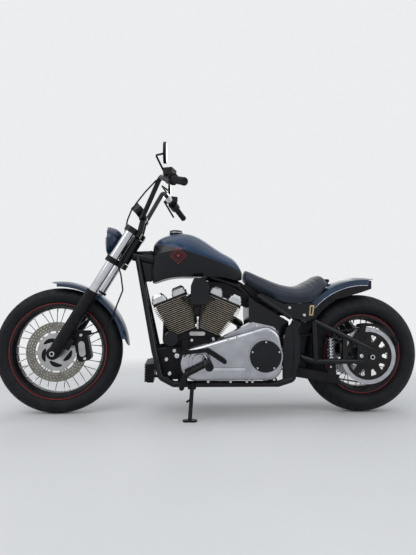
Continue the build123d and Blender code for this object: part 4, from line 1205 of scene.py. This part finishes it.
# Degrees round the rear axle where it starts, and that it sweeps
INNER_GUARD_FROM = 120
INNER_GUARD_SWEEP = 78
INTAKE = [(786, 640), (786, 706), (880, 698), (985, 640), (1030, 590), (1010, 566), (935, 604), (890, 622)]
SEAT_PAN = [(972, 690), (1004, 697), (1080, 650), (1180, 603), (1270, 598),
            (1270, 560), (1180, 545), (1085, 570)]


def inner_parts():
    """The black inner guard before the rear tyre, the intake under the tank and the pan under the seat."""
    edge, back, half, thick = INNER_GUARD
    floor_at, wall_at = back - thick, half - thick
    outline = [(edge, -half), (back, -half), (back, half), (edge, half), (edge, wall_at), (floor_at, wall_at),
               (floor_at, -wall_at), (edge, -wall_at)]
    rows = []
    for k in range(31):
        angle = INNER_GUARD_FROM + INNER_GUARD_SWEEP * k / 30
        rows.append([wheel_point(REAR, r, angle, y) for r, y in outline])
    piece("inner_guard", lofted(rows), SATIN, "frame")
    piece("intake_body", plate_mesh([INTAKE], 90, side_on(0), 4), CAST, "frame")
    piece("seat_pan", plate_mesh([SEAT_PAN], 76, side_on(0), 3), SATIN, "frame")


inner_parts()


# Gauge, mirrors and the painted highlight on the guard's edge

GAUGE = Vector((398, 0, 1096))
GAUGE_AXIS = Vector((1, 0, 0.9)).normalized()
GAUGE_FACE = 24
DIAL_RADIUS = 30.6
TICKS = 21
TICK_TO = 27.5
SCALE_FROM = -135
SCALE_TO = 135
NEEDLE = [(-1.6, -6), (1.6, -6), (0.4, 24), (-0.4, 24)]
NEEDLE_ANGLE = 128


def gauge_face():
    """A pale dial with ticks and a needle, in a bright bezel."""
    place = facing(GAUGE + GAUGE_AXIS * GAUGE_FACE, GAUGE_AXIS)
    piece("gauge_bezel", ring_mesh(circle(2.6, (33, 0.6), 10), place, 64), CHROME, "fork")
    dial = plate_mesh([circle(DIAL_RADIUS)], 1, place @ Matrix.Translation((0, 0, 0.4)), 0.2)
    piece("gauge_dial", [dial], DIAL, "fork")
    meshes = []
    for k in range(TICKS):
        angle = SCALE_FROM + (SCALE_TO - SCALE_FROM) * k / (TICKS - 1)
        turn = Matrix.Translation((0, 0, 1.1)) @ Matrix.Rotation(radians(angle), 4, "Z")
        foot = TICK_TO - (6 if k % 2 == 0 else 3.5)
        tick = [(-0.5, foot), (0.5, foot), (0.5, TICK_TO), (-0.5, TICK_TO)]
        meshes.append(plate_mesh([tick], 0.5, place @ turn, 0.1))
    turn = Matrix.Translation((0, 0, 1.9)) @ Matrix.Rotation(radians(NEEDLE_ANGLE), 4, "Z")
    meshes.append(plate_mesh([NEEDLE], 0.8, place @ turn, 0.1))
    hub = place @ Matrix.Translation((0, 0, 2))
    meshes.append(plate_mesh([circle(4, steps=20)], 2.6, hub, 0.4))
    piece("gauge_marks", meshes, BLACK, "fork")


gauge_face()


MIRROR_AT = (562, 330, 1302)
MIRROR_WIDE = 55
MIRROR_HIGH = 43


def mirror_glass():
    """The silvered ellipse in the rider's side of each mirror."""
    axes = Matrix(((0, 0, 1), (1, 0, 0), (0, 1, 0))).to_4x4()
    ellipse = [(MIRROR_WIDE * x, MIRROR_HIGH * y) for x, y in circle(1, steps=64)]
    x, y, z = MIRROR_AT
    places = [Matrix.Translation((x, side * y, z)) @ axes for side in (-1, 1)]
    meshes = [plate_mesh([ellipse], 1.6, place, 0.5) for place in places]
    piece("mirror_glass", meshes, MIRROR, "fork")


mirror_glass()


# A painted highlight: a chrome line where light catches the rear guard's rolled edge, by its radius round the
# rear axle, start, sweep and Y
EDGE_HIGHLIGHT_RADIUS = 375
EDGE_HIGHLIGHT_FROM = 153
EDGE_HIGHLIGHT_SWEEP = 65
EDGE_HIGHLIGHT_Y = 95.4


def guard_edge_painted_highlight():
    """A thin bright chrome line along the lower edge of the rear guard's sides: a painted highlight where
    light catches the guard's rolled edge.
    """
    meshes = []
    for side in (-1, 1):
        angles = [EDGE_HIGHLIGHT_FROM - EDGE_HIGHLIGHT_SWEEP * k / 24 for k in range(25)]
        meshes.append(curve_mesh([wheel_point(REAR, EDGE_HIGHLIGHT_RADIUS, a, side * EDGE_HIGHLIGHT_Y) for a in angles], 1.5))
    piece("rear_guard_painted_highlight", meshes, CHROME, "frame")


guard_edge_painted_highlight()


# Floor, light and background

PALE = 0.86
BACKDROP = (PALE * 0.98, PALE * 0.99, PALE, 1.0)
FLOOR_HALF = 40.0
FLOOR_FADES_FROM = 1.6
FLOOR_FADED_AT = 4.2


def pale_for_eye(m):
    """A node that is 1 for rays that see the background, in a mirror or through glass too."""
    ray = m.tree.nodes.new("ShaderNodeLightPath").outputs
    straight_or_mirrored = m.math("MAXIMUM", ray["Is Camera Ray"], ray["Is Glossy Ray"])
    return m.math("MAXIMUM", straight_or_mirrored, ray["Is Transmission Ray"])


def world():
    """A cool soft light from all round, seen as the pale backdrop."""
    m = Nodes("studio", bpy.data.worlds)
    lit = m.add("ShaderNodeBackground", Color=(0.84, 0.87, 0.92, 1.0), Strength=0.42)
    seen = m.add("ShaderNodeBackground", Color=BACKDROP)
    m.mix_shaders(pale_for_eye(m), lit, seen, "World Output")
    scene.world = m.owner


def floor():
    """A pale floor that fades into the backdrop away from the machine."""
    mesh = bpy.data.meshes.new("floor")
    corners = [(x * FLOOR_HALF, y * FLOOR_HALF, 0) for x, y in ((-1, -1), (1, -1), (1, 1), (-1, 1))]
    mesh.from_pydata(corners, [], [(0, 1, 2, 3)])
    m = Nodes("studio_floor")
    m.colour(m.ramp(m.noise(0.8, 4.0), (0.72, 0.73, 0.74), (0.77, 0.78, 0.79)))
    m.set(Roughness=0.62, Specular_IOR_Level=0.2)
    away = m.mapped(m.vector("LENGTH", m.place), FLOOR_FADES_FROM, FLOOR_FADED_AT, kind="SMOOTHSTEP")
    pale = m.add("ShaderNodeEmission", Color=BACKDROP)
    m.mix_shaders(m.math("MULTIPLY", away, pale_for_eye(m)), m.shader, pale, "Material Output")
    mesh.materials.append(m.owner)
    ground = bpy.data.objects.new("floor", mesh)
    scene.collection.objects.link(ground)


def softbox(name, at, aim, size, power):
    data = bpy.data.lights.new(name, "AREA")
    data.shape = "RECTANGLE"
    data.size, data.size_y = size
    data.energy = power
    lamp = bpy.data.objects.new(name, data)
    turn = (Vector(aim) - Vector(at)).to_track_quat("-Z", "Y").to_matrix().to_4x4()
    lamp.matrix_world = Matrix.Translation(at) @ turn
    scene.collection.objects.link(lamp)


world()
floor()
softbox("key", (-2.2, -3.2, 3.6), (0.0, 0.0, 0.5), (4.6, 3.2), 104.0)
softbox("fill", (3.0, -2.6, 2.0), (0.2, 0.0, 0.5), (3.0, 2.6), 34.0)
softbox("top", (0.0, 0.0, 4.0), (0.0, 0.0, 0.6), (5.0, 3.0), 40.0)
softbox("back", (0.4, 3.4, 2.6), (0.0, 0.0, 0.6), (3.6, 2.0), 22.0)
scene.view_settings.view_transform = "Standard"
